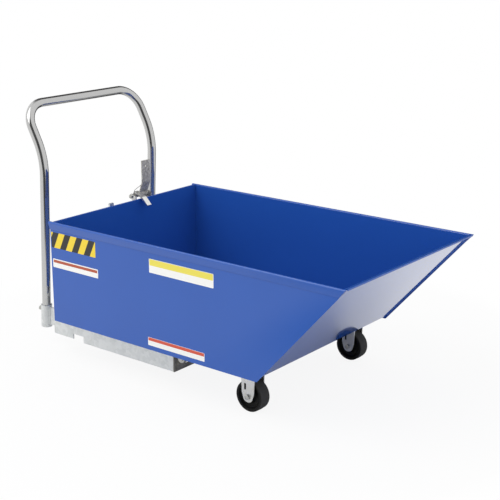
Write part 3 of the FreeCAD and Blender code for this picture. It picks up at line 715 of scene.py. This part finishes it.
@dataclass
class CasterWheel:
    """Solid rubber wheel with dished sides, on one caster."""

    node: str
    body: str
    diameter: float = 127.0
    width: float = 50.0
    crown: float = 1.0
    shoulder: float = 3.0
    rim: float = 13.0
    web: float = 30.0
    hub: float = 44.0
    hub_width: float = 55.0
    bore: float = 19.1
    blend: float = 6.0
    bends: tuple[float, ...] = (1.5, 3.0, 3.0, 2.0)
    bend_steps: int = 8
    bead: float = 0.3
    tread_points: int = 12
    steps: int = 128
    tread_from: float = 0.925
    tread_full: float = 0.965

    def outline(self) -> Array:
        """Half section from the bore to the middle of the tread, then its mirror image.

        The tread is a parabola across the width, with the mould's joint as a ridge in its middle.

        Returns:
            Closed outline of (radius, side) rows in millimetres.
        """
        half, outer, dish = self.width / 2, self.diameter / 2, self.web / 2
        flat = half - self.shoulder
        across = np.linspace(flat - self.shoulder, 0, self.tread_points)[:, None]
        tread = np.hstack([outer - self.bead - self.crown * (across / flat) ** 2, across])
        tread[-1, 0] = outer
        corners = np.array([
            (self.bore / 2, self.hub_width / 2), (self.hub / 2, self.hub_width / 2),
            (self.hub / 2 + self.blend, dish), (outer - self.rim - self.blend, dish),
            (outer - self.rim, half), (outer - self.crown, half), tread[0]])
        side = rounded(corners, [*self.bends, self.shoulder], self.bend_steps)[:-1]
        right = np.vstack([side, tread])
        return np.vstack([right, right[-2::-1] * (1, -1)])

    def build(self) -> None:
        """Turns the outline about the axle and marks the tread.

        The mark is how far out a point lies: zero on the sides and one on the tread.
        """
        form, centre = Form(), middle_of(self.node)
        form.add(turned(self.outline() * MM, centre, AXIS_Y, self.steps), wrap_rows=True)
        mesh = form.piece(
            self.node + "_moulded", RUBBER, Slot.RUBBER, self.body, self.node).data
        out = np.linalg.norm((places_of(mesh) - centre)[:, (0, 2)], axis=1)
        out = out / (self.diameter / 2 * MM)
        share = np.clip((out - self.tread_from) / (self.tread_full - self.tread_from), 0, 1)
        layer = mesh.attributes.new(TREAD, "FLOAT", "POINT")
        layer.data.foreach_set("value", share.astype(np.float32))


@dataclass
class RigidFork:
    """Pressed bracket of a front caster: a top plate and two slotted legs."""

    node: str
    wheel: str
    sheet: float = 4.0
    gap: float = 56.0
    plate_length: float = 114.0
    plate_width: float = 102.0
    plate_corner: float = 9.0
    leg_top: float = 66.0
    leg_waist: float = 59.0
    waist_rise: float = 16.5
    leg_foot: float = 34.0
    foot_drop: float = 22.0
    waist_bend: float = 28.0
    foot_bend: float = 21.0
    slot_width: float = 9.0
    slot_length: float = 27.0
    slot_shift: float = 13.0
    slot_rise: float = 40.5
    soft: float = 0.6
    columns: int = 220

    def build(self) -> None:
        """Presses the plate and both legs round the wheel."""
        axle, top = middle_of(self.wheel) / MM, end_of(self.node, 2, True) / MM
        form = Form()
        for side in Side:
            form.add(self._leg(axle, top, side.value) * MM, wrap_rows=True)
        form.add(self._plate(axle, top) * MM, caps=True)
        form.piece(self.node + "_pressed", CASTER_ZINC, Slot.CASTER, "hopper", self.node)

    def _outline(self, top: float) -> Array:
        """Even points round a leg: straight sides to a waist, then a narrower round foot.

        Args:
            top: height of the leg's top above the axle.
        Returns:
            Closed outline of (forward, up) rows about the axle.
        """
        corners = np.array([
            (-self.leg_top / 2, top), (-self.leg_waist / 2, self.waist_rise),
            (-self.leg_foot / 2, -self.foot_drop), (self.leg_foot / 2, -self.foot_drop),
            (self.leg_waist / 2, self.waist_rise), (self.leg_top / 2, top)])
        bends = [self.waist_bend, self.foot_bend, self.foot_bend, self.waist_bend]
        line = rounded(corners, bends)
        line = np.vstack([line, line[:1]])
        run = np.concatenate([[0.0], np.linalg.norm(np.diff(line, axis=0), axis=1).cumsum()])
        even = np.union1d(run, np.linspace(0, run[-1], self.columns))[:-1]
        return np.stack([np.interp(even, run, line[:, axis]) for axis in (0, 1)], -1)

    def _leg(self, axle: Array, top: float, side: int) -> Array:
        """One leg as rings from its outline to its slot and back on the other face.

        Along each ray from the slot's middle, the slot ends where the ray leaves its straight side,
        at r / |forward|, or its round end, at half run |up| + root(r^2 - (half run forward)^2).

        Args:
            axle: middle of the wheel.
            top: height of the top plate's upper face.
            side: sign of the leg's side.
        Returns:
            Grid of points, one row for each ring.
        """
        outline = self._outline(top - self.sheet / 2 - axle[2])
        middle = np.array([-self.slot_shift, self.slot_rise])
        reach = np.linalg.norm(outline - middle, axis=1)
        ray = unit(outline - middle)
        forward, up = np.maximum(np.abs(ray[:, 0]), TINY), np.abs(ray[:, 1])
        round_end = self.slot_width / 2
        half_run = self.slot_length / 2 - round_end
        flank = round_end / forward
        cap = half_run * up + np.sqrt(np.maximum(round_end ** 2 - (half_run * forward) ** 2, 0))
        slot = np.where(flank * up <= half_run, flank, cap)
        outer, inner, soft = self.gap / 2 + self.sheet, self.gap / 2, self.soft
        radii = np.stack([reach - soft, reach, reach, reach - soft,
                          slot + soft, slot, slot, slot + soft])
        levels = np.array([outer, outer - soft, inner + soft, inner,
                           inner, inner + soft, outer - soft, outer])
        grid = np.empty((*radii.shape, 3))
        grid[..., (0, 2)] = axle[[0, 2]] + middle + radii[..., None] * ray
        grid[..., 1] = axle[1] + side * levels[:, None]
        return grid

    def _plate(self, axle: Array, top: float) -> Array:
        """Top plate as rings of a rectangle with round corners.

        Args:
            axle: middle of the wheel.
            top: height of the plate's upper face.
        Returns:
            Grid of points, one row for each ring.
        """
        size = np.array([self.plate_length, self.plate_width])
        flat = round_plate(size, self.plate_corner)
        insets = 1 - np.array([self.soft, 0, 0, self.soft]) / (size.min() / 2)
        levels = top - np.array([self.sheet, self.sheet - self.soft, self.soft, 0])
        grid = np.empty((len(levels), len(flat), 3))
        grid[..., :2] = axle[:2] + insets[:, None, None] * flat
        grid[..., 2] = levels[:, None]
        return grid


@dataclass
class AxleSet:
    """Axle bolt and lock nut of one caster."""

    prefix: str
    suffix: str
    body: str
    steel: HexBolt = HexBolt(flats=19.0, head=7.5, nut=9.0, diameter=12.5, pitch=1.75)
    threaded: float = 21.0
    collar: float = 3.0

    def build(self) -> None:
        """Builds the bolt, and the lock nut with its round collar."""
        bolt, nut = (f"{self.prefix}_axle_{kind}{self.suffix}" for kind in ("bolt", "nut"))
        self.steel.build_across(bolt, nut, self.body, self.threaded, self.collar)


@dataclass
class PlateBolts:
    """Four bolts and nuts that fix a caster's top plate."""

    node: str
    body: str
    pitch_length: float = 92.0
    pitch_width: float = 76.0
    steel: HexBolt = HexBolt(flats=14.5, head=6.0, nut=8.0, diameter=9.5, pitch=1.5)
    tip: float = 1.0

    def build(self) -> None:
        """Builds each bolt upwards from its head under the plate, with its nut on top."""
        form, steel, foot = Form(), self.steel, middle_of(self.node)
        foot[2] = end_of(self.node, 2, False) + steel.head * MM
        length = (end_of(self.node, 2, True) - foot[2]) / MM
        rise = AXIS_Z * (length - steel.nut) * MM
        for along in (-self.pitch_length, self.pitch_length):
            for across in (-self.pitch_width, self.pitch_width):
                seat = foot + np.array([along, across, 0]) / 2 * MM
                steel.add_bolt(form, seat, AXIS_Z, length, steel.nut)
                nut = steel.hexagon(seat + rise, AXIS_Z, steel.nut - self.tip, steel.diameter)
                form.add(nut, wrap_rows=True)
        form.piece(self.node + "_turned", FASTENER_ZINC, Slot.FASTENER, self.body, self.node)


@dataclass
class HandleClamp:
    """Clamp bolts and weld nuts of the two handle sockets."""

    foot_reach: float = 202.0
    bend_reach: float = 165.0
    foot_height: float = 78.0
    bend_height: float = 838.0
    bolt_height: float = 75.0
    sleeve: float = 48.2
    tube: float = 38.1
    steel: HexBolt = HexBolt(flats=19.0, head=7.0, nut=10.0, diameter=10.0, pitch=1.5)
    bury: float = 2.5

    def build(self) -> None:
        """Builds each bolt square to its leaning leg, with its nut on the sleeve."""
        lean = [self.foot_reach - self.bend_reach, 0, self.bend_height - self.foot_height]
        rise = unit(np.array(lean))
        rear = np.cross(rise, AXIS_Y)
        bolts, nuts, steel = Form(), Form(), self.steel
        face = self.sleeve / 2 + steel.nut
        length = face - self.tube / 2
        for side in Side:
            foot = middle_of("handle_socket_" + side.name.lower()) / MM
            foot[0], foot[2] = rear_face() - self.foot_reach, self.foot_height
            middle = foot + rise * self.bolt_height
            steel.add_bolt(bolts, (middle + rear * face) * MM, -rear, length, length / 2)
            seat = (middle + rear * (self.sleeve / 2 - self.bury)) * MM
            nut = steel.hexagon(seat, rear, steel.nut + self.bury, steel.diameter)
            nuts.add(nut, wrap_rows=True)
        for form, node in ((bolts, "handle_clamp_bolts"), (nuts, "handle_clamp_nuts")):
            form.piece(node + "_turned", FASTENER_ZINC, Slot.FASTENER, "base_frame", node)


@dataclass
class LatchPivot:
    """Pivot bolt and nut of the rim latch, and the torsion spring round it."""

    steel: HexBolt = HexBolt(flats=16.0, head=6.5, nut=8.0, diameter=10.0, pitch=1.5)
    threaded: float = 16.0
    wire: float = 2.6
    wire_columns: int = 14
    turns: int = 3
    turn_points: int = 40
    lead: float = 3.3
    gap: float = 0.6
    ear_end: float = 52.0
    leg: float = 28.0
    leg_rise: float = 22.0
    leg_end: float = 104.0
    leg_bend: float = 9.0
    tail_drop: float = 42.0
    touch: float = 0.15
    strap: float = 6.0
    knee_shift: float = 22.0
    knee_height: float = 56.0
    blend_start: float = 54.0
    blend_end: float = 64.0
    level: Point = (0.02, 1.0, 0.01)

    def build(self) -> None:
        """Builds the bolt, its nut and the spring."""
        bolt = "latch_pivot_bolt"
        self.steel.build_across(bolt, "latch_pivot_nut", "hopper", self.threaded)
        self._spring(middle_of(bolt) * (1, 0, 1) / MM)

    def _spring(self, pivot: Array) -> None:
        """Winds the spring: a tail on the rear wall, a helix round the bolt and a leg on the strap.

        The helix is pivot + radius (cos a, sin a) across the bolt with an even advance along it,
        and each leg meets it at the angle of its tangent, acos(radius / reach) from its direction.

        Args:
            pivot: point of the bolt's axis on the middle plane, in millimetres.
        """
        slope = math.atan2(self.knee_shift, self.knee_height)
        radius = self.steel.diameter / 2 + self.gap + self.wire / 2
        start_y = self.ear_end + self.gap + self.wire / 2
        end_y = start_y + self.turns * self.lead
        along = np.array([math.sin(slope), 0, math.cos(slope)])
        behind = np.array([-math.cos(slope), 0, math.sin(slope)])
        back = pivot + behind * (self.strap / 2 + self.wire / 2 + self.touch)
        corner = back + along * self.leg + AXIS_Y * end_y
        tip = back + along * (self.leg + self.leg_rise) + AXIS_Y * self.leg_end
        wall = rear_face() - self.wire / 2 - self.touch
        tail = np.array([wall, start_y, pivot[2] - self.tail_drop])

        def meets(point: Array, side: int) -> float:
            """Angle round the bolt where a straight leg from the point touches the coil."""
            x, _, z = point - pivot
            return math.atan2(z, x) + side * math.acos(radius / math.hypot(x, z))

        last, first = meets(corner, 1), meets(tail, -1)
        sweep = (first - last) % math.tau + math.tau * (self.turns - 1)
        share = np.linspace(0, 1, self.turn_points * self.turns)[:, None]
        angle = last + sweep * (1 - share)
        coil = pivot + radius * (np.cos(angle) * AXIS_X + np.sin(angle) * AXIS_Z)
        coil = coil + (start_y + (end_y - start_y) * share) * AXIS_Y
        leg = rounded(np.array([coil[-1], corner, tip]), [self.leg_bend])
        path = np.vstack([tail, coil, leg[1:]])
        turn = full_turn(self.wire_columns)
        profile = self.wire / 2 * np.stack([np.cos(turn), np.sin(turn)], -1)
        form = Form()
        form.add(carried(profile, path, self.level) * MM, caps=True)
        made = form.piece("latch_spring_wound", WIRE, Slot.SPRING, node="latch_spring")
        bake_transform(made)


@dataclass
class PanelLabel:
    """One blank printed film on the right-hand side panel."""

    name: str
    left: float
    low: float
    film: VinylFilm
    corner: float = 3.0
    thickness: float = 0.25
    corner_steps: int = 6

    def build(self) -> None:
        """Lays a thin plate with round corners on the panel, with a map in metres of its own."""
        origin = np.array([rear_face() + self.left, self.low])
        size = np.array([self.film.width, self.film.height])
        flat = origin + size / 2 + round_plate(size, self.corner, self.corner_steps)[1:]
        face = end_of("floor_sheet", 1, False) / MM - SHEET
        grid = np.empty((2, len(flat), 3))
        grid[..., (0, 2)] = flat
        grid[..., 1] = np.array([face, face - self.thickness])[:, None]
        form = Form()
        form.add(grid * MM, caps=True)
        mesh = form.piece(self.name, self.film, body="hopper").data
        corners = np.empty(len(mesh.loops), dtype=np.int32)
        mesh.loops.foreach_get("vertex_index", corners)
        film = places_of(mesh)[corners][:, (0, 2)] - origin * MM
        layer = mesh.uv_layers.new(name=FILM_MAP)
        layer.data.foreach_set("uv", film.astype(np.float32).ravel())


LABELS = [
    PanelLabel("hazard_stripe_film", -15.0, 498.0, VinylFilm(
        "striped_vinyl_film", ("F2D43A", "2A2A28"), width=258.0, height=66.0,
        printed=Print.STRIPES)),
    PanelLabel("upper_banded_film", -11.0, 413.0, VinylFilm(
        "red_banded_vinyl_film_upper", ("F4F4F1", "B4563A"), width=265.0, height=37.0,
        band_top=4.5, band_height=12.0)),
    PanelLabel("middle_banded_film", 538.0, 494.0, VinylFilm(
        "yellow_banded_vinyl_film", ("F4F4F1", "EBDD5A"), width=325.0, height=56.0,
        margin=2.5, band_top=1.5, band_height=25.0)),
    PanelLabel("lower_banded_film", 523.0, 192.0, VinylFilm(
        "red_banded_vinyl_film_lower", ("F4F4F1", "D2543C"), width=292.0, height=34.0,
        margin=2.0, band_top=1.0, band_height=13.0)),
]


@dataclass
class WeldRun:
    """Fillet welds laid in corners, as rippled beads."""

    # Each run has two ends: millimetres ahead of the rear wall, to the left and up
    name: str
    body: str
    finish: Finish
    slot: Slot
    runs: list[Run]
    leg: float = 4.0
    ripple: float = 3.2
    ripple_depth: float = 0.07
    bow: float = 0.3
    columns: int = 12
    ripple_rows: int = 5
    least_rows: int = 8
    least_taper: float = 0.02
    level: Point = (0.31, 0.87, 0.39)

    def build(self) -> None:
        """Carries a round bead along each run, with its radius rippled in crescents.

        The radius is leg (1 + depth sin(turn (run / ripple + bow cos a))), tapering to the ends.
        """
        form = Form()
        angle = full_turn(self.columns)[None]
        for run in self.runs:
            first, last = np.array(run) + AXIS_X * rear_face()
            length = float(np.linalg.norm(last - first))
            rows = max(self.least_rows, int(length / self.ripple * self.ripple_rows))
            share = np.linspace(0, 1, rows)[:, None]
            wave = np.sin(math.tau * (share * length / self.ripple + self.bow * np.cos(angle)))
            taper = np.minimum(share, 1 - share) * length / self.leg
            taper = np.sqrt(np.clip(taper, self.least_taper, 1))
            radius = self.leg * (1 + self.ripple_depth * wave) * taper
            profile = np.stack([radius * np.cos(angle), radius * np.sin(angle)], -1)
            path = first + (last - first) * share
            form.add(carried(profile, path, self.level) * MM, caps=True)
        form.piece(self.name, self.finish, self.slot, self.body)


def mirrored_runs(runs: list[Run]) -> list[Run]:
    """Weld runs and their twins on the other side."""
    return [*runs, *[tuple((x, -y, z) for x, y, z in run) for run in runs]]


WELDS = [
    WeldRun("hopper_weld_beads", "hopper", ENAMEL, Slot.PAINT, mirrored_runs([
        ((-1.0, 442.0, 200.0), (-1.0, 442.0, 575.0)),
        ((1074.0, 442.5, 193.0), (1418.0, 442.5, 580.0)),
        *[((614.0, y, 191.5), (702.0, y, 191.5)) for y in (350.5, 361.5)],
        ((1033.5, 281.0, 191.5), (1033.5, 401.0, 191.5)),
        *[((900.0, y, 191.5), (1032.0, y, 191.5)) for y in (402.5, 279.5)],
    ]), leg=2.4),
    WeldRun("frame_weld_beads", "base_frame", GALVANISED, Slot.FRAME, mirrored_runs([
        *[((-85.0, y, 92.0), (-85.0, y, 168.0)) for y in (327.0, 337.0)],
        *[((-177.0, y, 92.0), (-173.3, y, 168.0)) for y in (327.0, 337.0)],
    ]) + [
        *[((-85.0, y, 104.0), (-85.0, y, 186.0)) for y in (-36.0, -10.0, 71.0, 97.0)],
        *[((-82.5, y, z), (-82.5, y + 22.0, z)) for y in (-34.0, 73.0) for z in (530.5, 517.5)],
    ], leg=3.5),
    # painted shade: the hinge beads take the darker plate tones of the hinge ears
    WeldRun("hinge_weld_beads", "base_frame", PAINTED_SHADE_PLATE, Slot.FRAME, mirrored_runs([
        ((611.0, y, 104.0), (611.0, y, 176.0)) for y in (370.0, 342.0)]), leg=3.5),
    WeldRun("latch_weld_beads", "latch", BAR, Slot.LATCH, [
        ((x, 95.5, z), (x, 142.5, z)) for x, z in ((-29.8, 629.4), (-23.1, 626.7))], leg=2.2),
]


@dataclass
class SheetEdges:
    """Softens the corners of the CAD nodes that stay in view."""

    crease: float = math.radians(30)
    width: float = 0.6
    segments: int = 2

    def group(self) -> Tree:
        """Geometry nodes that join loose triangles and shade them smooth up to the crease angle.

        Returns:
            The node group.
        """
        tree = bpy.data.node_groups.new("joined_sheet", "GeometryNodeTree")
        for way in ("INPUT", "OUTPUT"):
            tree.interface.new_socket("Geometry", in_out=way, socket_type="NodeSocketGeometry")
        start = add_node(tree, "NodeGroupInput")
        bare = add_node(tree, "GeometryNodeRemoveAttribute", {0: start, "Name": "custom_normal"})
        joined = add_node(tree, "GeometryNodeMergeByDistance", {0: bare, "Distance": MERGE})
        smooth = add_node(tree, "GeometryNodeSetShadeSmooth", {0: joined, "Shade Smooth": True})
        angle = add_node(tree, "GeometryNodeInputMeshEdgeAngle")
        flat = add_node(tree, "FunctionNodeCompare", {
            0: angle, 1: self.crease}, operation="LESS_THAN")
        edges = add_node(tree, "GeometryNodeSetShadeSmooth", {
            0: smooth, "Shade Smooth": flat}, domain="EDGE")
        add_node(tree, "NodeGroupOutput", {0: edges})
        return tree

    def dress(self) -> None:
        """Gives every CAD node in view its finish and softened corners."""
        joined = self.group()
        for name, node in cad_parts.items():
            if node.hide_render:
                continue
            slot = Slot(node.material_slots[0].material.name.split(".")[0])
            finish = NODE_FINISH.get(name, SLOT_FINISH[slot])
            node.material_slots[0].material = finish.material()
            node.modifiers.new("joined", "NODES").node_group = joined
            bevel = node.modifiers.new("softened", "BEVEL")
            bevel.width, bevel.segments = self.width * MM, self.segments
            bevel.limit_method, bevel.angle_limit = "ANGLE", self.crease
            bevel.harden_normals = True
            LOG.info("node %s: %s", name, finish.name)


@dataclass
class Studio:
    """Pale floor, soft light and the camera."""

    azimuth: float = 38.402
    elevation: float = 16.132
    distance: float = 4657.8
    lens: float = 82.20
    sensor: float = 36.0
    target: Point = (103.95, 0.0, 508.63)
    floor_reach: float = 80000.0
    near: float = 400.0
    far: float = 1600.0
    floor_pale: str = "F4F4F3"
    lift: float = 0.9
    fill: float = 0.83
    key_power: float = 80.0
    key_size: float = 3500.0
    key_place: Point = (-1500.0, -2600.0, 4200.0)
    dim_way: float = -61.0
    dim_level: float = 0.03
    dim_edge: float = 0.76
    dim_core: float = 0.96
    ceiling_from: float = 0.80
    ceiling_to: float = 1.0

    def build(self) -> None:
        """Builds the floor, the world, the lamp and the camera."""
        self._floor()
        self._world()
        self._lamp()
        self._camera()
        bpy.context.scene.view_settings.view_transform = "Standard"

    def _seen(self, tree: Tree) -> tuple[Socket, Node]:
        """Whether a ray shows the background itself.

        Args:
            tree: node tree of the floor or the world.
        Returns:
            What gives one for camera rays, and one for camera, glossy and transmission rays.
        """
        path = add_node(tree, "ShaderNodeLightPath").outputs
        either = add_node(tree, "ShaderNodeMath", {
            0: path["Is Glossy Ray"], 1: path["Is Transmission Ray"]}, operation="MAXIMUM")
        camera = path["Is Camera Ray"]
        return camera, add_node(tree, "ShaderNodeMath", {0: either, 1: camera}, operation="MAXIMUM")

    def _dimmed(self, tree: Tree, way: Socket) -> Node:
        """How bright the room's walls look to a mirror: its two ends are dim and its sides white.

        The level falls from one to the dim level as the share of a level direction along the room,
        its dot product with the room's length whichever the sign, goes from edge to core.

        Args:
            tree: node tree of the floor or the world.
            way: output that holds the direction.
        Returns:
            Node that gives the level.
        """
        turn = math.radians(self.dim_way)
        level = add_node(tree, "ShaderNodeVectorMath", {0: way, 1: (1, 1, 0)}, operation="MULTIPLY")
        flat = add_node(tree, "ShaderNodeVectorMath", {0: level}, operation="NORMALIZE")
        along = add_node(tree, "ShaderNodeVectorMath", {
            0: flat, 1: (math.cos(turn), math.sin(turn), 0)}, operation="DOT_PRODUCT")
        share = add_node(tree, "ShaderNodeMath", {0: along.outputs["Value"]}, operation="ABSOLUTE")
        return add_node(tree, "ShaderNodeMapRange", {
            0: share, 1: self.dim_edge, 2: self.dim_core, 3: 1.0, 4: self.dim_level},
            interpolation_type="SMOOTHSTEP")

    def _floor(self) -> None:
        """Floor that keeps the shadow near the trolley and is plain white far away."""
        corners = np.array([(-1, -1, 0), (1, -1, 0), (1, 1, 0), (-1, 1, 0)]) * self.floor_reach * MM
        floor = bpy.data.meshes.new("pale_floor")
        floor.from_pydata(corners.tolist(), [], [range(len(corners))])
        placed("pale_floor", floor)
        paint = bpy.data.materials.new("pale_studio_floor")
        paint.use_nodes = True
        floor.materials.append(paint)
        tree = paint.node_tree
        camera, seen = self._seen(tree)
        place = add_node(tree, "ShaderNodeNewGeometry").outputs["Position"]
        away = add_node(tree, "ShaderNodeVectorMath", {0: place}, operation="LENGTH")
        far = add_node(tree, "ShaderNodeMapRange", {
            0: away.outputs["Value"], 1: self.near * MM, 2: self.far * MM},
            interpolation_type="SMOOTHSTEP")
        lifted = add_node(tree, "ShaderNodeMath", {0: camera, 1: self.lift}, operation="MULTIPLY")
        white = add_node(tree, "ShaderNodeMath", {0: far, 1: lifted}, operation="MAXIMUM")
        share = add_node(tree, "ShaderNodeMath", {0: white, 1: seen}, operation="MULTIPLY")
        matt = add_node(tree, "ShaderNodeBsdfDiffuse", {"Color": linear(self.floor_pale)})
        ends = add_node(tree, "ShaderNodeMix", {0: far, 2: 1.0, 3: self._dimmed(tree, place)})
        level = add_node(tree, "ShaderNodeMath", {0: camera, 1: ends}, operation="MAXIMUM")
        plain = add_node(tree, "ShaderNodeEmission", {"Color": (1, 1, 1, 1), "Strength": level})
        mixed = add_node(tree, "ShaderNodeMixShader", {0: share, 1: matt, 2: plain})
        feed(tree, tree.nodes["Material Output"], {"Surface": mixed})

    def _world(self) -> None:
        """White room whose two ends look dim to mirrors, up to where its ceiling starts."""
        world = bpy.data.worlds.new("white_room")
        bpy.context.scene.world = world
        world.use_nodes = True
        tree = world.node_tree
        camera, seen = self._seen(tree)
        way = add_node(tree, "ShaderNodeTexCoord").outputs["Generated"]
        height = add_node(tree, "ShaderNodeSeparateXYZ", {0: way}).outputs["Z"]
        ceiling = add_node(tree, "ShaderNodeMapRange", {
            0: height, 1: self.ceiling_from, 2: self.ceiling_to}, interpolation_type="SMOOTHSTEP")
        walls = add_node(tree, "ShaderNodeMath", {
            0: ceiling, 1: self._dimmed(tree, way)}, operation="MAXIMUM")
        shown = add_node(tree, "ShaderNodeMath", {0: camera, 1: walls}, operation="MAXIMUM")
        level = add_node(tree, "ShaderNodeMix", {0: seen, 2: self.fill, 3: shown})
        feed(tree, tree.nodes["Background"], {"Color": (1, 1, 1, 1), "Strength": level})

    def _aim(self, made: Piece, place: Vector, way: Vector) -> None:
        """Puts a lamp or a camera in its place.

        Args:
            made: the lamp or the camera.
            place: its place in metres.
            way: direction that it looks in.
        """
        made.location = place
        made.rotation_mode = "QUATERNION"
        made.rotation_quaternion = way.to_track_quat("-Z", "Y")

    def _lamp(self) -> None:
        """One large soft box above the near left side."""
        lamp = bpy.data.lights.new("soft_box", "AREA")
        lamp.size, lamp.energy = self.key_size * MM, self.key_power
        place = Vector(self.key_place) * MM
        self._aim(placed("soft_box", lamp), place, Vector(self.target) * MM - place)

    def _camera(self) -> None:
        """Camera on the photograph's line of sight."""
        turn, rise = math.radians(self.azimuth), math.radians(self.elevation)
        level = math.cos(rise)
        back = Vector((math.sin(turn) * level, -math.cos(turn) * level, math.sin(rise)))
        camera = bpy.data.cameras.new("camera")
        camera.lens, camera.sensor_width = self.lens, self.sensor
        made = placed("camera", camera)
        self._aim(made, (Vector(self.target) + back * self.distance) * MM, -back)
        bpy.context.scene.camera = made


def main() -> None:
    """Builds the pieces in order, dresses the frame and sets the stage."""
    logging.basicConfig(level=logging.INFO, format="%(message)s")
    for side in Side:
        name = side.name.lower()
        CasterWheel("front_wheel_" + name, "front_wheel_" + name).build()
        RigidFork("front_caster_fork_" + name, "front_wheel_" + name).build()
        AxleSet("front", "_" + name, "hopper").build()
        PlateBolts("front_caster_bolts_" + name, "hopper").build()
    CasterWheel("rear_wheel", "rear_wheel").build()
    AxleSet("rear", "", "rear_caster").build()
    PlateBolts("rear_caster_bolts", "base_frame").build()
    HandleClamp().build()
    LatchPivot().build()
    for piece in [*LABELS, *WELDS]:
        piece.build()
    SheetEdges().dress()
    Studio().build()


if __name__ == "__main__":
    main()
